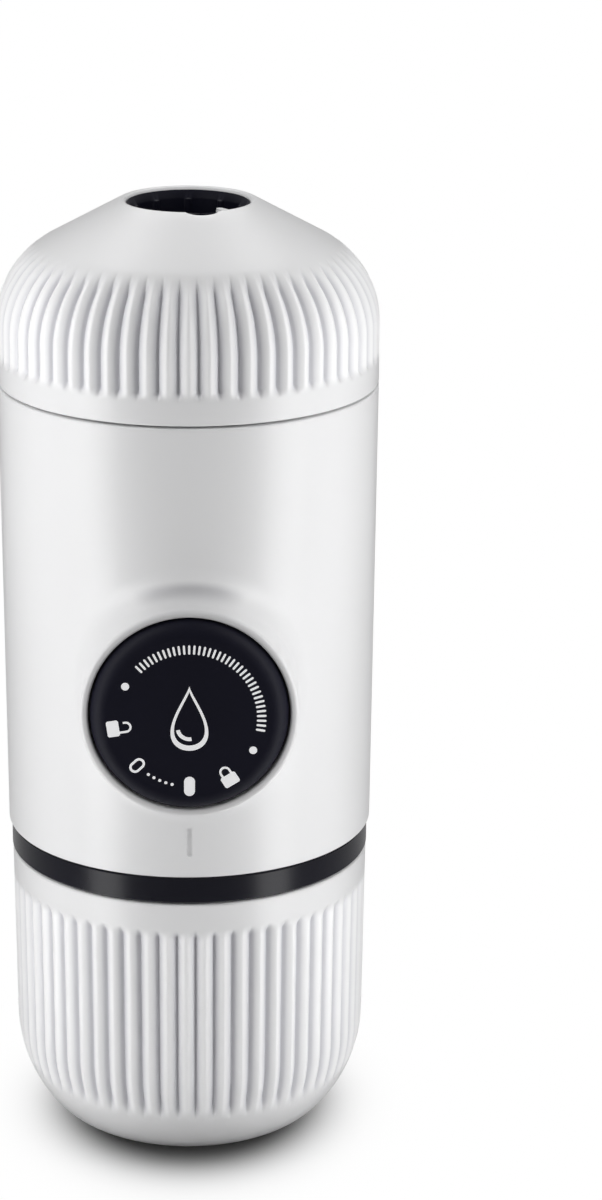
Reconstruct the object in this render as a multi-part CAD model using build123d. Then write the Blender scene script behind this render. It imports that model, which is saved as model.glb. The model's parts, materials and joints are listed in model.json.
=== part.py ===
from build123d import *
import os
from math import asin, cos, degrees, pi, radians, sin, sqrt, tan

# A hand-pumped espresso maker. It stands on its cup, with the outlet hole at the top and the pump button
# towards -Y. All lengths are in millimetres and all angles in degrees.

# ---- heights of the stacked parts ----
cup_height = 48.3
flange_height = 4.5
body_height = 74.4
head_height = 29.3
joint_gap = 0.2
seam_gap = 0.4

# ---- round outside, stepped inwards from the foot of the body ----
body_foot_radius = 30.15
body_taper = 0.6
body_wall = 2.15
flange_inset = 0.45
cup_inset = 0.1

# ---- cup ----
cup_lean = 0.67
cup_wall = 2.0
cup_lip_round = 0.6
bowl_height = 18.2
bowl_radius = 22.5
bowl_turn = 41.5

# ---- grooves between the grip ribs ----
rib_count = 60
groove_radius = 1.0
groove_depth = 0.6
groove_arc_shift = 0.03
cup_groove_low = 9.5
cup_groove_high = 43.6
cup_rib_turn = -1.2
head_groove_rise = 3.7
head_groove_end_angle = 54.0

# ---- tank ----
tank_gap = 0.55
tank_wall = 1.4
tank_floor_gap = 5.8
tank_corner_radius = 10.0
grip_ring_drop = 4.0
grip_ring_height = 3.0
grip_ring_depth = 0.6
grip_ring_crown = 0.8

# ---- threads and round seals ----
thread_depth = 0.4
thread_pitch = 2.0
thread_clear = 0.1
thread_turns = 3
neck_thread_turns = 2
thread_inset = 0.4
lead_in = 0.5
seal_wire_radius = 0.7
seal_clear = 0.05
tank_seal_drop = 1.6
head_seal_land = 0.55

# ---- body ----
edge_bevel = 0.3
ledge_width = 1.0
ledge_height = 1.5
fit_gap = 0.1
spigot_length = 10.0
spigot_wall = 2.0
spigot_gap = 0.45
adaptor_thickness = 4.8
strainer_radius = 3.6
strainer_recess = 1.0
strainer_thickness = 0.9
strainer_hole_radius = 0.45
strainer_pitch = 1.9
vent_offset = 15.0
vent_stem_radius = 1.2
vent_hole_offset = 2.6
vent_hole_radius = 0.5
vent_flap_radius = 4.0
vent_flap_height = 1.1
vent_bulb_radius = 1.8
vent_bulb_height = 1.6
tick_width = 0.7
tick_height = 4.1
tick_depth = 0.3
tick_drop = 22.1

# ---- pump and button ----
pump_share = 0.412634
button_proud = 10.1
button_radius = 15.5
button_round = 2.8
button_gap = 0.25
button_sink = 1.75
button_travel = 20.0
button_thickness = 2.5
face_margin = 0.3
face_thickness = 1.0
skirt_wall = 1.4
skirt_relief = 0.25
skirt_gap = 0.15
hub_wall = 1.45
hub_web = 0.8
hub_length = 6.8
knob_screw_length = 12.0
knob_screw_head = 0.9
knob_screw_sink = 0.4
boss_wall = 1.3
boss_flare = 5.0
boss_inner_reach = 21.0
guide_wall = 0.8
guide_setback = 0.3
guide_lip = 1.0
guide_rim = 0.9
guide_end_height = 1.2
lug_height = 1.8
lug_angle = 16.0
lock_angle = 45.0
lug_margin = 5.0
lug_start = 70.0
lug_gap = 0.15
lock_ring_gap = 0.2
plate_front = -11.0
plate_thickness = 2.0
plate_rim = 2.3
post_radius = 2.2
post_gap = 0.35
post_thread_depth = 6.0
rod_radius = 4.0
rod_gap = 0.05
bore_radius = 6.0
cylinder_wall = 1.6
cylinder_front = -14.0
cylinder_back_gap = 15.0
collar_width = 1.6
collar_thickness = 2.5
gland_length = 3.0
gland_plug_length = 1.4
gland_bevel = 0.4
piston_seal_gap = 0.04
piston_head_length = 3.4
piston_disc_thickness = 1.2
piston_disc_gap = 0.3
piston_stub_radius = 2.2
piston_seal_thickness = 1.2
piston_seal_height = 2.0
piston_seal_lip = 0.9
piston_seal_bevel = 0.5
piston_nut_radius = 4.2
piston_end_gap = 0.6
spring_gap = 1.8
spring_wire_radius = 0.7
spring_turns = 8
washer_thickness = 0.8
washer_overhang = 0.8

# ---- valve block ----
gasket_thickness = 1.0
gasket_margin = 0.8
block_half_width = 7.5
block_depth = 10.0
block_floor_gap = 9.9
ear_reach = 13.0
ear_half_height = 8.0
ear_thickness = 3.0
block_screw_half_width = 10.2
valve_setback = 4.0
passage_radius = 1.8
chamber_radius = 3.0
chamber_length = 11.6
plug_length = 3.0
seat_thickness = 1.0
seat_hole_radius = 1.3
ball_radius = 2.0
ball_gap = 0.05
valve_spring_radius = 1.8
valve_spring_rest = 1.86
valve_spring_wire = 0.25
valve_spring_turns = 4
fitting_flange_radius = 4.3
fitting_flange_height = 2.0
barb_radius = 2.2
barb_length = 3.8
barb_tooth = 0.4
barb_tooth_back = 2.4
water_bore_radius = 1.1
hose_wall = 1.2
clip_height = 1.6
clip_thickness = 0.7
clip_end_gap = 0.6
clip_ear_length = 2.4
clip_ear_width = 1.6

# ---- brewing head ----
roof_thickness = 8.0
brew_skirt_wall = 2.0
brew_skirt_height = 7.6
tie_post_radius = 3.2
neck_height = 7.2
neck_wall = 1.9
chamber_floor_rise = 1.4
brew_gasket_height = 1.9
brew_gasket_cover = 1.2
screen_gap = 0.6
screen_thickness = 0.6
screen_lift = 0.9
screen_boss_radius = 3.0
channel_radius = 1.5
channel_rise = 3.0
channel_offset = 8.0

# ---- basket ----
basket_flange_width = 2.9
basket_wall = 0.7
basket_corner = 1.0
basket_height = 13.0
basket_flange_height = 1.0
basket_flange_gap = 0.5
basket_lift_gap = 0.1
perforation_radius = 0.6
perforation_pitch = 3.6
perforation_margin = 1.6
mesh_thickness = 0.5

# ---- head ----
head_wall = 2.0
shoulder_radius = 14.8
cone_slope = 28.7
hole_radius = 9.9
lip_round = 0.8
notch_radius = 2.6
notch_depth = 1.4
notch_angle = 10.6
tooth_angle = 33.0
tooth_width = 1.6
tooth_depth = 1.1
tooth_overlap = 0.3
core_gap = 0.25
core_wall = 1.2
core_sleeve_wall = 1.9
core_bore_gap = 0.6
core_shoulder = 1.6
core_step_gap = 0.4
core_seam_gap = 0.2
core_roof = 1.6
core_roof_gap = 2.0
turret_wall = 1.6
turret_gap = 0.5
crema_radius = 4.0
crema_height = 0.9
crema_hole_radius = 0.4
nozzle_gap = 1.3
nozzle_flange_height = 1.8
spout_radius = 4.2
spout_taper = 0.8
spout_bore_radius = 2.2
spout_drop = 3.1
core_screw_circle = 15.5
core_screw_depth = 2.8
core_post_wall = 0.4
core_post_height = 5.0
spout_bevel = 0.3
fin_thickness = 0.9
fin_drop = 1.6

# ---- small screws ----
tie_screw_radius = 1.5
tie_head_radius = 2.7
tie_head_height = 2.4
small_screw_radius = 1.2
small_head_radius = 2.2
small_head_height = 1.6
core_screw_radius = 1.0
core_head_radius = 1.9
core_head_height = 1.5
screw_gap = 0.05
screw_end_gap = 0.5
tie_thread_depth = 6.0
flat_head_height = 0.9
screen_screw_length = 6.0
tie_screw_half_width = 17.5
tie_screw_back = 8.0
tie_screw_front = -4.5

# ---- levels worked out from the heights ----
flange_low = cup_height + joint_gap
flange_high = flange_low + flange_height
body_low = flange_high + joint_gap
body_high = body_low + body_height
head_low = body_high + seam_gap
head_high = head_low + head_height
pump_level = body_low + body_height * pump_share
adaptor_top = body_low + adaptor_thickness
brew_low = body_high - brew_skirt_height - roof_thickness
chamber_floor = body_high + chamber_floor_rise
neck_top = body_high + neck_height
basket_low = chamber_floor + brew_gasket_height + basket_lift_gap
basket_top = basket_low + basket_height
core_roof_low = basket_top + core_roof_gap
core_roof_high = core_roof_low + core_roof

# ---- radii and places worked out from each other ----
body_top_radius = body_foot_radius + body_taper
body_bore_radius = body_foot_radius - body_wall
flange_radius = body_foot_radius - flange_inset
cup_rim_radius = flange_radius - cup_inset
foot_arc_radius = (bowl_height - bowl_radius * sin(radians(bowl_turn))) / (1 - sin(radians(bowl_turn)))
bowl_top = bowl_height - bowl_radius * sin(radians(cup_lean))
bowl_top_radius = cup_rim_radius - (cup_height - bowl_top) * tan(radians(cup_lean))
bowl_centre_radius = bowl_top_radius - bowl_radius * cos(radians(cup_lean))
foot_centre_radius = bowl_centre_radius + (bowl_radius - foot_arc_radius) * cos(radians(bowl_turn))
tank_radius = bowl_top_radius - cup_wall / cos(radians(cup_lean)) - tank_gap
tank_floor_height = cup_wall + tank_floor_gap
tank_bore_radius = tank_radius - tank_wall
spigot_radius = tank_bore_radius - spigot_gap - thread_depth
insert_radius = body_bore_radius - fit_gap
boss_bore_radius = button_radius + button_gap
boss_radius = boss_bore_radius + boss_wall
button_reach = body_foot_radius + button_proud
boss_front = -button_reach + button_sink
button_back = boss_front + button_sink
face_radius = button_radius - button_round - face_margin
guide_front = button_back + guide_setback
guide_radius = boss_bore_radius - fit_gap
guide_rim_radius = guide_radius + guide_rim
skirt_radius = guide_radius - guide_wall - skirt_relief
skirt_back = plate_front - guide_end_height - lug_height - lock_ring_gap
spring_radius = skirt_radius - skirt_wall - spring_gap
bolt_circle_radius = guide_rim_radius + post_gap + post_radius
plate_radius = bolt_circle_radius + plate_rim
button_floor = -button_reach + button_thickness
rod_front = button_floor + hub_web
hub_radius = rod_radius + rod_gap + hub_wall
cylinder_radius = bore_radius + cylinder_wall
collar_radius = cylinder_radius + collar_width
cylinder_back = body_bore_radius - cylinder_back_gap
piston_end = cylinder_back - piston_end_gap
block_front = cylinder_back + gasket_thickness
valve_offset = block_front + valve_setback
block_half_height = pump_level - adaptor_top - block_floor_gap
block_low = pump_level - block_half_height
block_high = pump_level + block_half_height
core_outer_radius = body_top_radius - head_wall - core_gap
core_thread_radius = core_outer_radius - core_wall
neck_radius = core_thread_radius - thread_clear - thread_depth
neck_bore_radius = neck_radius - neck_wall
basket_radius = neck_bore_radius - basket_flange_width
brew_gasket_inner = basket_radius - brew_gasket_cover
screen_radius = brew_gasket_inner - screen_gap
perforation_rings = int((screen_radius - perforation_margin) / perforation_pitch)
nozzle_flange_radius = hole_radius - nozzle_gap
core_bore_radius = basket_radius + core_bore_gap
core_sleeve_radius = core_bore_radius + core_sleeve_wall
cone_normal = 90 - cone_slope
shoulder_centre_radius = body_top_radius - shoulder_radius
shoulder_end_radius = shoulder_centre_radius + shoulder_radius * cos(radians(cone_normal))
lip_line_level = head_high - lip_round + lip_round / cos(radians(cone_slope))
lip_line_radius = hole_radius + lip_round
shoulder_level = (lip_line_level - shoulder_radius * sin(radians(cone_normal))
                  - (shoulder_end_radius - lip_line_radius) * tan(radians(cone_slope)))


# ---- shape helpers ----
def turned(edges):
    """Solid of revolution about Z of a closed outline of edges drawn as (radius, height)."""
    return revolve(Plane.XZ * make_face(Curve() + edges), Axis.Z)


def turned_points(points):
    """Solid of revolution about Z of a polygon of (radius, height)."""
    return revolve(Plane.XZ * make_face(Polyline(*points, close=True)), Axis.Z)


def tube(outer, inner, low, high, bevel=0.0):
    """Straight tube about Z, with its outer edges bevelled."""
    points = [(inner, low), (outer - bevel, low), (outer, low + bevel)]
    points += [(outer, high - bevel), (outer - bevel, high), (inner, high)]
    unique = [p for i, p in enumerate(points) if p != points[i - 1]]
    return turned_points(unique)


def rod(radius, low, high):
    """Solid round bar about Z."""
    return Pos(0, 0, (low + high) / 2) * Cylinder(radius, high - low)


def along_pump(shape):
    """Lay a shape made about Z along the pump: its height becomes the place along Y."""
    return Pos(0, 0, pump_level) * Rot(-90, 0, 0) * shape


def at_valves(shape):
    """Move a shape made about Z to the upright line of the valves."""
    return Pos(0, valve_offset, 0) * shape


def round_seal(bore_radius_around, level):
    """Round ring that just clears the bore around it."""
    major = bore_radius_around - seal_clear - seal_wire_radius
    return Pos(0, 0, level) * Torus(major, seal_wire_radius)


def screw(shank_radius, head_radius, head_height, length):
    """Socket-head screw that points up from the origin, with its head below."""
    body = rod(shank_radius, 0, length) + tube(head_radius, 0, -head_height, 0, 0.2)
    socket = extrude(RegularPolygon(head_radius * 0.5, 6), head_height * 0.55)
    return body - Pos(0, 0, -head_height) * socket


def ridges(root, crest, low, count):
    """Outline points of thread ridges that rise from the root radius to the crest radius."""
    points = []
    for index in range(count):
        base = low + index * thread_pitch
        points.append((root, base))
        points.append((crest, base + 0.25 * thread_pitch))
        points.append((crest, base + 0.5 * thread_pitch))
        points.append((root, base + 0.75 * thread_pitch))
    return points


def coil(radius, wire_radius, turns, low, high):
    """Coil spring about Z between two levels."""
    height = high - low - 2 * wire_radius
    path = Helix(height / turns, height, radius)
    section = Plane(origin=path @ 0, z_dir=path % 0) * Circle(wire_radius)
    return Pos(0, 0, low + wire_radius) * sweep(section, path=path, is_frenet=True)


def perforations(rings, pitch, radius, low, high):
    """Round punches on rings about Z: one in the middle and six more on each ring."""
    places = [(0, 0)]
    for ring in range(1, rings + 1):
        for index in range(6 * ring):
            angle = 2 * pi * index / (6 * ring)
            places.append((ring * pitch * cos(angle), ring * pitch * sin(angle)))
    return [Pos(x, y, 0) * rod(radius, low, high) for x, y in places if (x, y) != (0, 0)]


def groove_cutters(path, first_angle):
    """Round-nosed cutters along a path in the XZ plane, repeated around Z for all the grooves."""
    nose = Sphere(groove_radius)
    section = Plane(origin=path @ 0, z_dir=path % 0) * Circle(groove_radius)
    cutter = sweep(section, path=path) + Pos(path @ 0) * nose + Pos(path @ 1) * nose
    step = 360 / rib_count
    return [Rot(0, 0, first_angle + (index + 0.5) * step) * cutter for index in range(rib_count)]


def bowl_arcs(inset):
    """The two arcs of the rounded cup bottom, moved inwards, from the foot up to the wall."""
    foot_centre = (foot_centre_radius, foot_arc_radius)
    foot = CenterArc(foot_centre, foot_arc_radius - inset, -90, 90 - bowl_turn)
    bowl = CenterArc((bowl_centre_radius, bowl_height), bowl_radius - inset, -bowl_turn, bowl_turn - cup_lean)
    return foot, bowl


def cup_bore(level):
    """Inner radius of the leaning cup wall at a level."""
    wall = cup_wall / cos(radians(cup_lean))
    return cup_rim_radius - wall - (cup_height - level) * tan(radians(cup_lean))


# ---- cup and tank ----
def cup():
    """Drinking cup with a rounded bottom and ribs all around."""
    foot, bowl = bowl_arcs(0)
    inner_foot, inner_bowl = bowl_arcs(cup_wall)
    rim_inner = cup_bore(cup_height)
    outline = [Line((0, 0), foot @ 0), foot, bowl, Line(bowl @ 1, (cup_rim_radius, cup_height))]
    outline += [Line((cup_rim_radius, cup_height), (rim_inner, cup_height))]
    outline += [Line((rim_inner, cup_height), inner_bowl @ 1), inner_bowl, inner_foot]
    outline += [Line(inner_foot @ 0, (0, cup_wall)), Line((0, cup_wall), (0, 0))]
    vessel = turned(outline)
    rim = vessel.edges().filter_by(GeomType.CIRCLE).group_by(Axis.Z)[-1]
    vessel = fillet(rim, cup_lip_round)
    reach = bowl_radius + groove_radius - groove_depth
    low_angle = degrees(asin((bowl_height - cup_groove_low - groove_radius) / reach))
    bend_centre = (bowl_centre_radius + groove_arc_shift, bowl_height + groove_arc_shift)
    bend = CenterArc(bend_centre, reach - groove_arc_shift, -low_angle, low_angle - cup_lean)
    rise = cup_groove_high - groove_radius - (bend @ 1).Y
    top = bend @ 1 + Vector(rise * tan(radians(cup_lean)), rise)
    path = Plane.XZ * (Curve() + [bend, Line(bend @ 1, top)])
    return vessel - groove_cutters(path, -90 + cup_rib_turn)


def water_tank():
    """Water tank that hangs in the cup by its dark flange."""
    corner_centre = (tank_radius - tank_corner_radius, tank_floor_height + tank_corner_radius)
    outer = CenterArc(corner_centre, tank_corner_radius, -90, 90)
    inner = CenterArc(corner_centre, tank_corner_radius - tank_wall, -90, 90)
    floor_top = tank_floor_height + tank_wall
    ring_high = flange_low - grip_ring_drop
    ring_low = ring_high - grip_ring_height
    ring_floor = tank_radius - grip_ring_depth
    crest = spigot_radius + thread_depth + thread_clear
    thread_low = flange_low - thread_turns * thread_pitch
    outside = [(tank_radius, ring_low), (ring_floor, ring_low), (ring_floor, ring_high)]
    outside += [(tank_radius, ring_high), (tank_radius, flange_low)]
    outside += [(flange_radius - edge_bevel, flange_low), (flange_radius, flange_low + edge_bevel)]
    outside += [(flange_radius, flange_high - edge_bevel), (flange_radius - edge_bevel, flange_high)]
    outside += [(tank_bore_radius, flange_high)]
    inside = list(reversed(ridges(tank_bore_radius, crest, thread_low, thread_turns)))
    outline = [Line((0, tank_floor_height), outer @ 0), outer]
    outline += [Polyline(outer @ 1, *outside, *inside, inner @ 1), inner]
    outline += [Line(inner @ 0, (0, floor_top)), Line((0, floor_top), (0, tank_floor_height))]
    return turned(outline)


def cup_grip_ring():
    """Rubber band on the tank that holds the cup by friction."""
    high = flange_low - grip_ring_drop - fit_gap
    low = high - grip_ring_height + 2 * fit_gap
    inner = tank_radius - grip_ring_depth + screw_gap
    outer = cup_bore(low) - fit_gap
    middle = (low + high) / 2
    lip = (outer - inner) / 2
    points = [(inner, low), (outer - lip, low), (outer, middle - grip_ring_crown / 2)]
    points += [(outer, middle + grip_ring_crown / 2), (outer - lip, high), (inner, high)]
    return turned_points(points)


def tank_seal():
    """Round ring between the spigot and the mouth of the tank."""
    return round_seal(tank_bore_radius, flange_high - tank_seal_drop)


def seal_groove(bore_radius_around, level):
    """Ring to cut from a spigot for a round seal that runs in the bore around it."""
    floor = bore_radius_around - 2 * seal_wire_radius - 2 * seal_clear
    half = seal_wire_radius + seal_clear
    return tube(bore_radius_around, floor, level - half, level + half)


def base_adaptor():
    """Floor of the body with the threaded spigot for the tank, the suction port and the vent."""
    inner = spigot_radius - thread_depth - spigot_wall
    root = spigot_radius
    crest = spigot_radius + thread_depth
    low = body_low - spigot_length
    thread_low = flange_low - thread_turns * thread_pitch
    outside = ridges(root, crest, thread_low, thread_turns)
    points = [(0, body_low), (inner, body_low), (inner, low), (root - lead_in, low), (root, low + lead_in)]
    points += outside + [(root, body_low), (insert_radius, body_low), (insert_radius, adaptor_top)]
    points += [(0, adaptor_top)]
    adaptor = turned_points(points) - seal_groove(tank_bore_radius, flange_high - tank_seal_drop)
    adaptor += at_valves(rod(barb_radius, adaptor_top, adaptor_top + barb_length))
    adaptor -= at_valves(rod(water_bore_radius, body_low, adaptor_top + barb_length))
    adaptor -= at_valves(rod(strainer_radius + screw_gap, body_low, body_low + strainer_recess))
    adaptor -= Pos(0, -vent_offset, 0) * rod(vent_stem_radius + screw_gap, body_low, adaptor_top)
    for angle in (0, 120, 240):
        hole = Pos(vent_hole_offset, 0, 0) * rod(vent_hole_radius, body_low, adaptor_top)
        adaptor -= Pos(0, -vent_offset, 0) * Rot(0, 0, angle) * hole
    for x, y in tie_places():
        adaptor -= Pos(x, y, 0) * rod(tie_screw_radius + screw_gap, body_low, adaptor_top)
        recess = rod(tie_head_radius + screw_gap, body_low, body_low + tie_head_height + screw_gap)
        adaptor -= Pos(x, y, 0) * recess
    return adaptor


def tie_places():
    """Places of the four long screws."""
    return [(x, y) for x in (-tie_screw_half_width, tie_screw_half_width)
            for y in (tie_screw_front, tie_screw_back)]


def inlet_strainer():
    """Small sieve at the suction port."""
    high = body_low + strainer_recess - screw_gap
    disc = rod(strainer_radius, high - strainer_thickness, high)
    holes = perforations(1, strainer_pitch, strainer_hole_radius, high - 2 * strainer_thickness, high + 1)
    return at_valves(disc - holes)


def vent_valve():
    """Rubber mushroom that lets air into the tank as the water leaves."""
    bulb_low = body_low - vent_bulb_height
    flap_low = adaptor_top + screw_gap
    points = [(0, bulb_low), (vent_stem_radius, bulb_low), (vent_bulb_radius, body_low - screw_gap)]
    points += [(vent_stem_radius, body_low - screw_gap), (vent_stem_radius, flap_low), (vent_flap_radius, flap_low)]
    points += [(0.9 * vent_flap_radius, adaptor_top + vent_flap_height / 2), (0, adaptor_top + vent_flap_height)]
    return Pos(0, -vent_offset, 0) * turned_points(points)


# ---- body ----
def post_places():
    """Places of the four posts beside the pump, as (x, z)."""
    side = bolt_circle_radius / sqrt(2)
    return [(x, pump_level + z) for x in (-side, side) for z in (-side, side)]


def body_shell():
    """White outer tube with the flared boss of the button, posts, ledges and index tick."""
    points = [(0, body_low), (body_foot_radius - edge_bevel, body_low), (body_foot_radius, body_low + edge_bevel)]
    points += [(body_top_radius, body_high - edge_bevel), (body_top_radius - edge_bevel, body_high), (0, body_high)]
    shell = turned_points(points)
    shell += along_pump(rod(boss_radius, boss_front, 0))
    flare_edges = [e for e in shell.edges() if e.geom_type not in (GeomType.CIRCLE, GeomType.LINE)]
    shell = fillet(flare_edges, boss_flare)
    lip_edges = shell.edges().filter_by(GeomType.CIRCLE).group_by(Axis.Y)[0]
    shell = fillet(lip_edges, boss_wall * 0.55)
    keep = along_pump(tube(boss_radius, boss_bore_radius, boss_front - 1, -boss_inner_reach))
    hollow = rod(body_bore_radius, body_low - 1, body_high + 1) - keep
    shell -= hollow
    shell -= along_pump(rod(boss_bore_radius, boss_front - 1, 0))
    ledge_root = body_bore_radius + body_wall / 4
    for ledge_low in (adaptor_top + fit_gap, brew_low - fit_gap - ledge_height):
        shell += tube(ledge_root, body_bore_radius - ledge_width, ledge_low, ledge_low + ledge_height)
    side = bolt_circle_radius / sqrt(2)
    post_end = -sqrt(body_bore_radius ** 2 - side ** 2) - body_wall / 2
    for x, z in post_places():
        post = Rot(-90, 0, 0) * rod(post_radius, post_end, plate_front)
        hole_end = plate_front - post_thread_depth - screw_end_gap
        hole = Rot(-90, 0, 0) * rod(small_screw_radius + screw_gap, hole_end, plate_front)
        shell += Pos(x, 0, z) * post
        shell -= Pos(x, 0, z) * hole
    tick_level = pump_level - tick_drop - tick_height / 2
    tick_radius = body_foot_radius + body_taper * (tick_level - body_low) / body_height
    return shell - Pos(0, -tick_radius, tick_level) * Box(tick_width, 2 * tick_depth, tick_height)


def tie_screws():
    """Four long screws that pull the floor and the brewing head towards each other."""
    length = brew_low + tie_thread_depth - body_low - tie_head_height
    one = Pos(0, 0, body_low + tie_head_height) * screw(tie_screw_radius, tie_head_radius, tie_head_height, length)
    return [Pos(x, y, 0) * one for x, y in tie_places()]


# ---- button ----
def knob_cap():
    """Round push button: a cap with a long skirt and a hub for the rod."""
    front = -button_reach
    pocket = front + face_thickness
    edge = CenterArc((button_radius - button_round, front + button_round), button_round, -90, 90)
    inner_radius = skirt_radius - skirt_wall
    bore = rod_radius + rod_gap
    points = [(button_radius, button_back), (skirt_radius, button_back), (skirt_radius, skirt_back)]
    points += [(inner_radius, skirt_back), (inner_radius, button_floor), (hub_radius, button_floor)]
    points += [(hub_radius, button_floor + hub_length), (bore, button_floor + hub_length)]
    points += [(bore, rod_front - screw_gap), (tie_screw_radius + screw_gap, rod_front - screw_gap)]
    seat = button_floor - knob_screw_sink
    points += [(tie_screw_radius + screw_gap, seat), (tie_head_radius + skirt_gap, seat)]
    points += [(tie_head_radius + skirt_gap, pocket), (face_radius + screw_gap, pocket)]
    points += [(face_radius + screw_gap, front)]
    outline = [edge, Polyline(edge @ 1, *points, edge @ 0)]
    return along_pump(turned(outline))


def knob_face():
    """Flat round plate in the front of the button."""
    return along_pump(tube(face_radius, 0, -button_reach, -button_reach + face_thickness - screw_gap))


def knob_screw():
    """Screw that holds the button on the rod and lets it turn."""
    head = button_floor - knob_screw_sink - screw_gap
    one = screw(tie_screw_radius, tie_head_radius, knob_screw_head, knob_screw_length)
    return along_pump(Pos(0, 0, head) * one)


def lug_sector(inner, outer, low, high, start, end):
    """Part of a tube between two angles about Z."""
    ring = tube(outer, inner, low, high)
    wide = outer * 3
    middle = radians((start + end) / 2)
    half = radians((end - start) / 2)
    corners = [(0, 0)]
    corners.append((wide * cos(middle - half), wide * sin(middle - half)))
    corners.append((wide * cos(middle), wide * sin(middle)))
    corners.append((wide * cos(middle + half), wide * sin(middle + half)))
    wedge = extrude(make_face(Polyline(*corners, close=True)), high - low)
    return ring & (Pos(0, 0, low) * wedge)


def knob_lock_ring():
    """Ring at the inner end of the button with two lugs for the bayonet slots."""
    low = skirt_back + screw_gap
    high = low + lug_height
    ring = tube(skirt_radius, skirt_radius - skirt_wall, low, high)
    root = skirt_radius - skirt_wall / 2
    outer = guide_radius - lug_gap
    for start in (lug_start, lug_start + 180):
        ring += lug_sector(root, outer, low, high, start - lug_angle / 2, start + lug_angle / 2)
    return along_pump(ring)


def piston_guide():
    """Sleeve in the boss that guides the button, with two bayonet slots."""
    inner = guide_radius - guide_wall
    end_low = plate_front - guide_end_height
    points = [(inner, plate_front), (inner, guide_front + guide_lip)]
    points += [(skirt_radius + skirt_gap, guide_front + guide_lip), (skirt_radius + skirt_gap, guide_front)]
    points += [(guide_radius, guide_front), (guide_radius, end_low), (guide_rim_radius, end_low)]
    points += [(guide_rim_radius, plate_front)]
    sleeve = turned_points(points)
    slot_low = skirt_back - button_travel - 2 * lock_ring_gap
    slot_high = end_low
    low_side = lug_angle / 2 + lock_angle + lug_margin
    high_side = lug_angle / 2 + lug_margin
    for start in (lug_start, lug_start + 180):
        sleeve -= lug_sector(inner - 1, guide_radius + 1, slot_low, slot_high, start - low_side, start + high_side)
    return along_pump(sleeve)


# ---- pump ----
def cylinder_flange():
    """Round plate that carries the cylinder and the sleeve on the four posts."""
    back = plate_front + plate_thickness
    plate = tube(plate_radius, cylinder_radius + screw_gap, plate_front, back, 0.3)
    side = bolt_circle_radius / sqrt(2)
    for x in (-side, side):
        for y in (-side, side):
            plate -= Pos(x, y, 0) * rod(small_screw_radius + screw_gap, plate_front, back)
    return along_pump(plate)


def flange_screws():
    """Four screws that hold the plate on the posts."""
    back = plate_front + plate_thickness
    length = plate_thickness + post_thread_depth
    one = Rot(90, 0, 0) * screw(small_screw_radius, small_head_radius, small_head_height, length)
    return [Pos(x, back + screw_gap, z) * one for x, z in post_places()]


def spring_washer():
    """Flat washer under the return spring."""
    half = spring_wire_radius + washer_overhang
    low = plate_front - screw_gap - washer_thickness
    return along_pump(tube(spring_radius + half, spring_radius - half, low, plate_front - screw_gap))


def return_spring():
    """Coil spring that pushes the button out."""
    high = plate_front - washer_thickness - 2 * screw_gap
    low = button_floor + screw_gap
    return along_pump(coil(spring_radius, spring_wire_radius, spring_turns, low, high))


def pump_cylinder():
    """Pump cylinder with a collar behind the plate and a mounting foot for the valve block."""
    collar_low = plate_front + plate_thickness + screw_gap
    points = [(bore_radius, cylinder_front), (cylinder_radius, cylinder_front)]
    points += [(cylinder_radius, collar_low), (collar_radius, collar_low)]
    points += [(collar_radius, collar_low + collar_thickness), (cylinder_radius, collar_low + collar_thickness)]
    points += [(cylinder_radius, cylinder_back), (bore_radius, cylinder_back)]
    body = turned_points(points)
    foot = Box(2 * ear_reach, 2 * ear_half_height, collar_thickness)
    foot = fillet(foot.edges().filter_by(Axis.Z), 3.0)
    foot = Pos(0, 0, cylinder_back - collar_thickness / 2) * foot
    body += foot - rod(bore_radius, 0, cylinder_back + 1)
    for x in (-block_screw_half_width, block_screw_half_width):
        body -= Pos(x, 0, 0) * rod(small_screw_radius + screw_gap, 0, cylinder_back)
    return along_pump(body)


def rod_gland():
    """Bush that closes the front of the cylinder around the rod."""
    bore = rod_radius + rod_gap
    front = cylinder_front - gland_length
    points = [(bore, front), (cylinder_radius - gland_bevel, front), (cylinder_radius, front + gland_bevel)]
    points += [(cylinder_radius, cylinder_front - screw_gap), (bore_radius - screw_gap, cylinder_front - screw_gap)]
    plug_end = cylinder_front + gland_plug_length
    points += [(bore_radius - screw_gap, plug_end), (bore, plug_end)]
    level = (front + cylinder_front) / 2
    half = seal_wire_radius + seal_clear
    groove = tube(bore + 2 * seal_wire_radius + screw_gap, bore - 1, level - half, level + half)
    return along_pump(turned_points(points) - groove)


def gland_seal():
    """Round ring that wipes the rod."""
    level = cylinder_front - gland_length / 2
    major = rod_radius + rod_gap + seal_wire_radius
    return along_pump(Pos(0, 0, level) * Torus(major, seal_wire_radius))


def piston_rod():
    """Rod of the piston, with a threaded end for the nut."""
    head_low = piston_end - piston_head_length
    disc_low = head_low - piston_disc_thickness
    disc_radius = bore_radius - piston_disc_gap
    stub_end = piston_end - piston_disc_gap
    points = [(0, rod_front), (rod_radius, rod_front), (rod_radius, disc_low), (disc_radius, disc_low)]
    points += [(disc_radius, head_low), (piston_stub_radius, head_low), (piston_stub_radius, stub_end), (0, stub_end)]
    hole_end = rod_front + knob_screw_length + screw_end_gap
    return along_pump(turned_points(points) - rod(tie_screw_radius + screw_gap, rod_front, hole_end))


def piston_cup_seal():
    """Cup seal of the piston."""
    head_low = piston_end - piston_head_length
    outer = bore_radius - piston_seal_gap
    inner = piston_stub_radius + screw_gap
    web = head_low + piston_seal_thickness
    lip_end = head_low + piston_seal_height
    points = [(inner, head_low + screw_gap), (outer - piston_seal_bevel, head_low + screw_gap)]
    points += [(outer, head_low + screw_gap + piston_seal_bevel), (outer, lip_end), (outer - piston_seal_lip, lip_end)]
    points += [(outer - 1.2 * piston_seal_lip, web), (inner, web)]
    return along_pump(turned_points(points))


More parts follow.
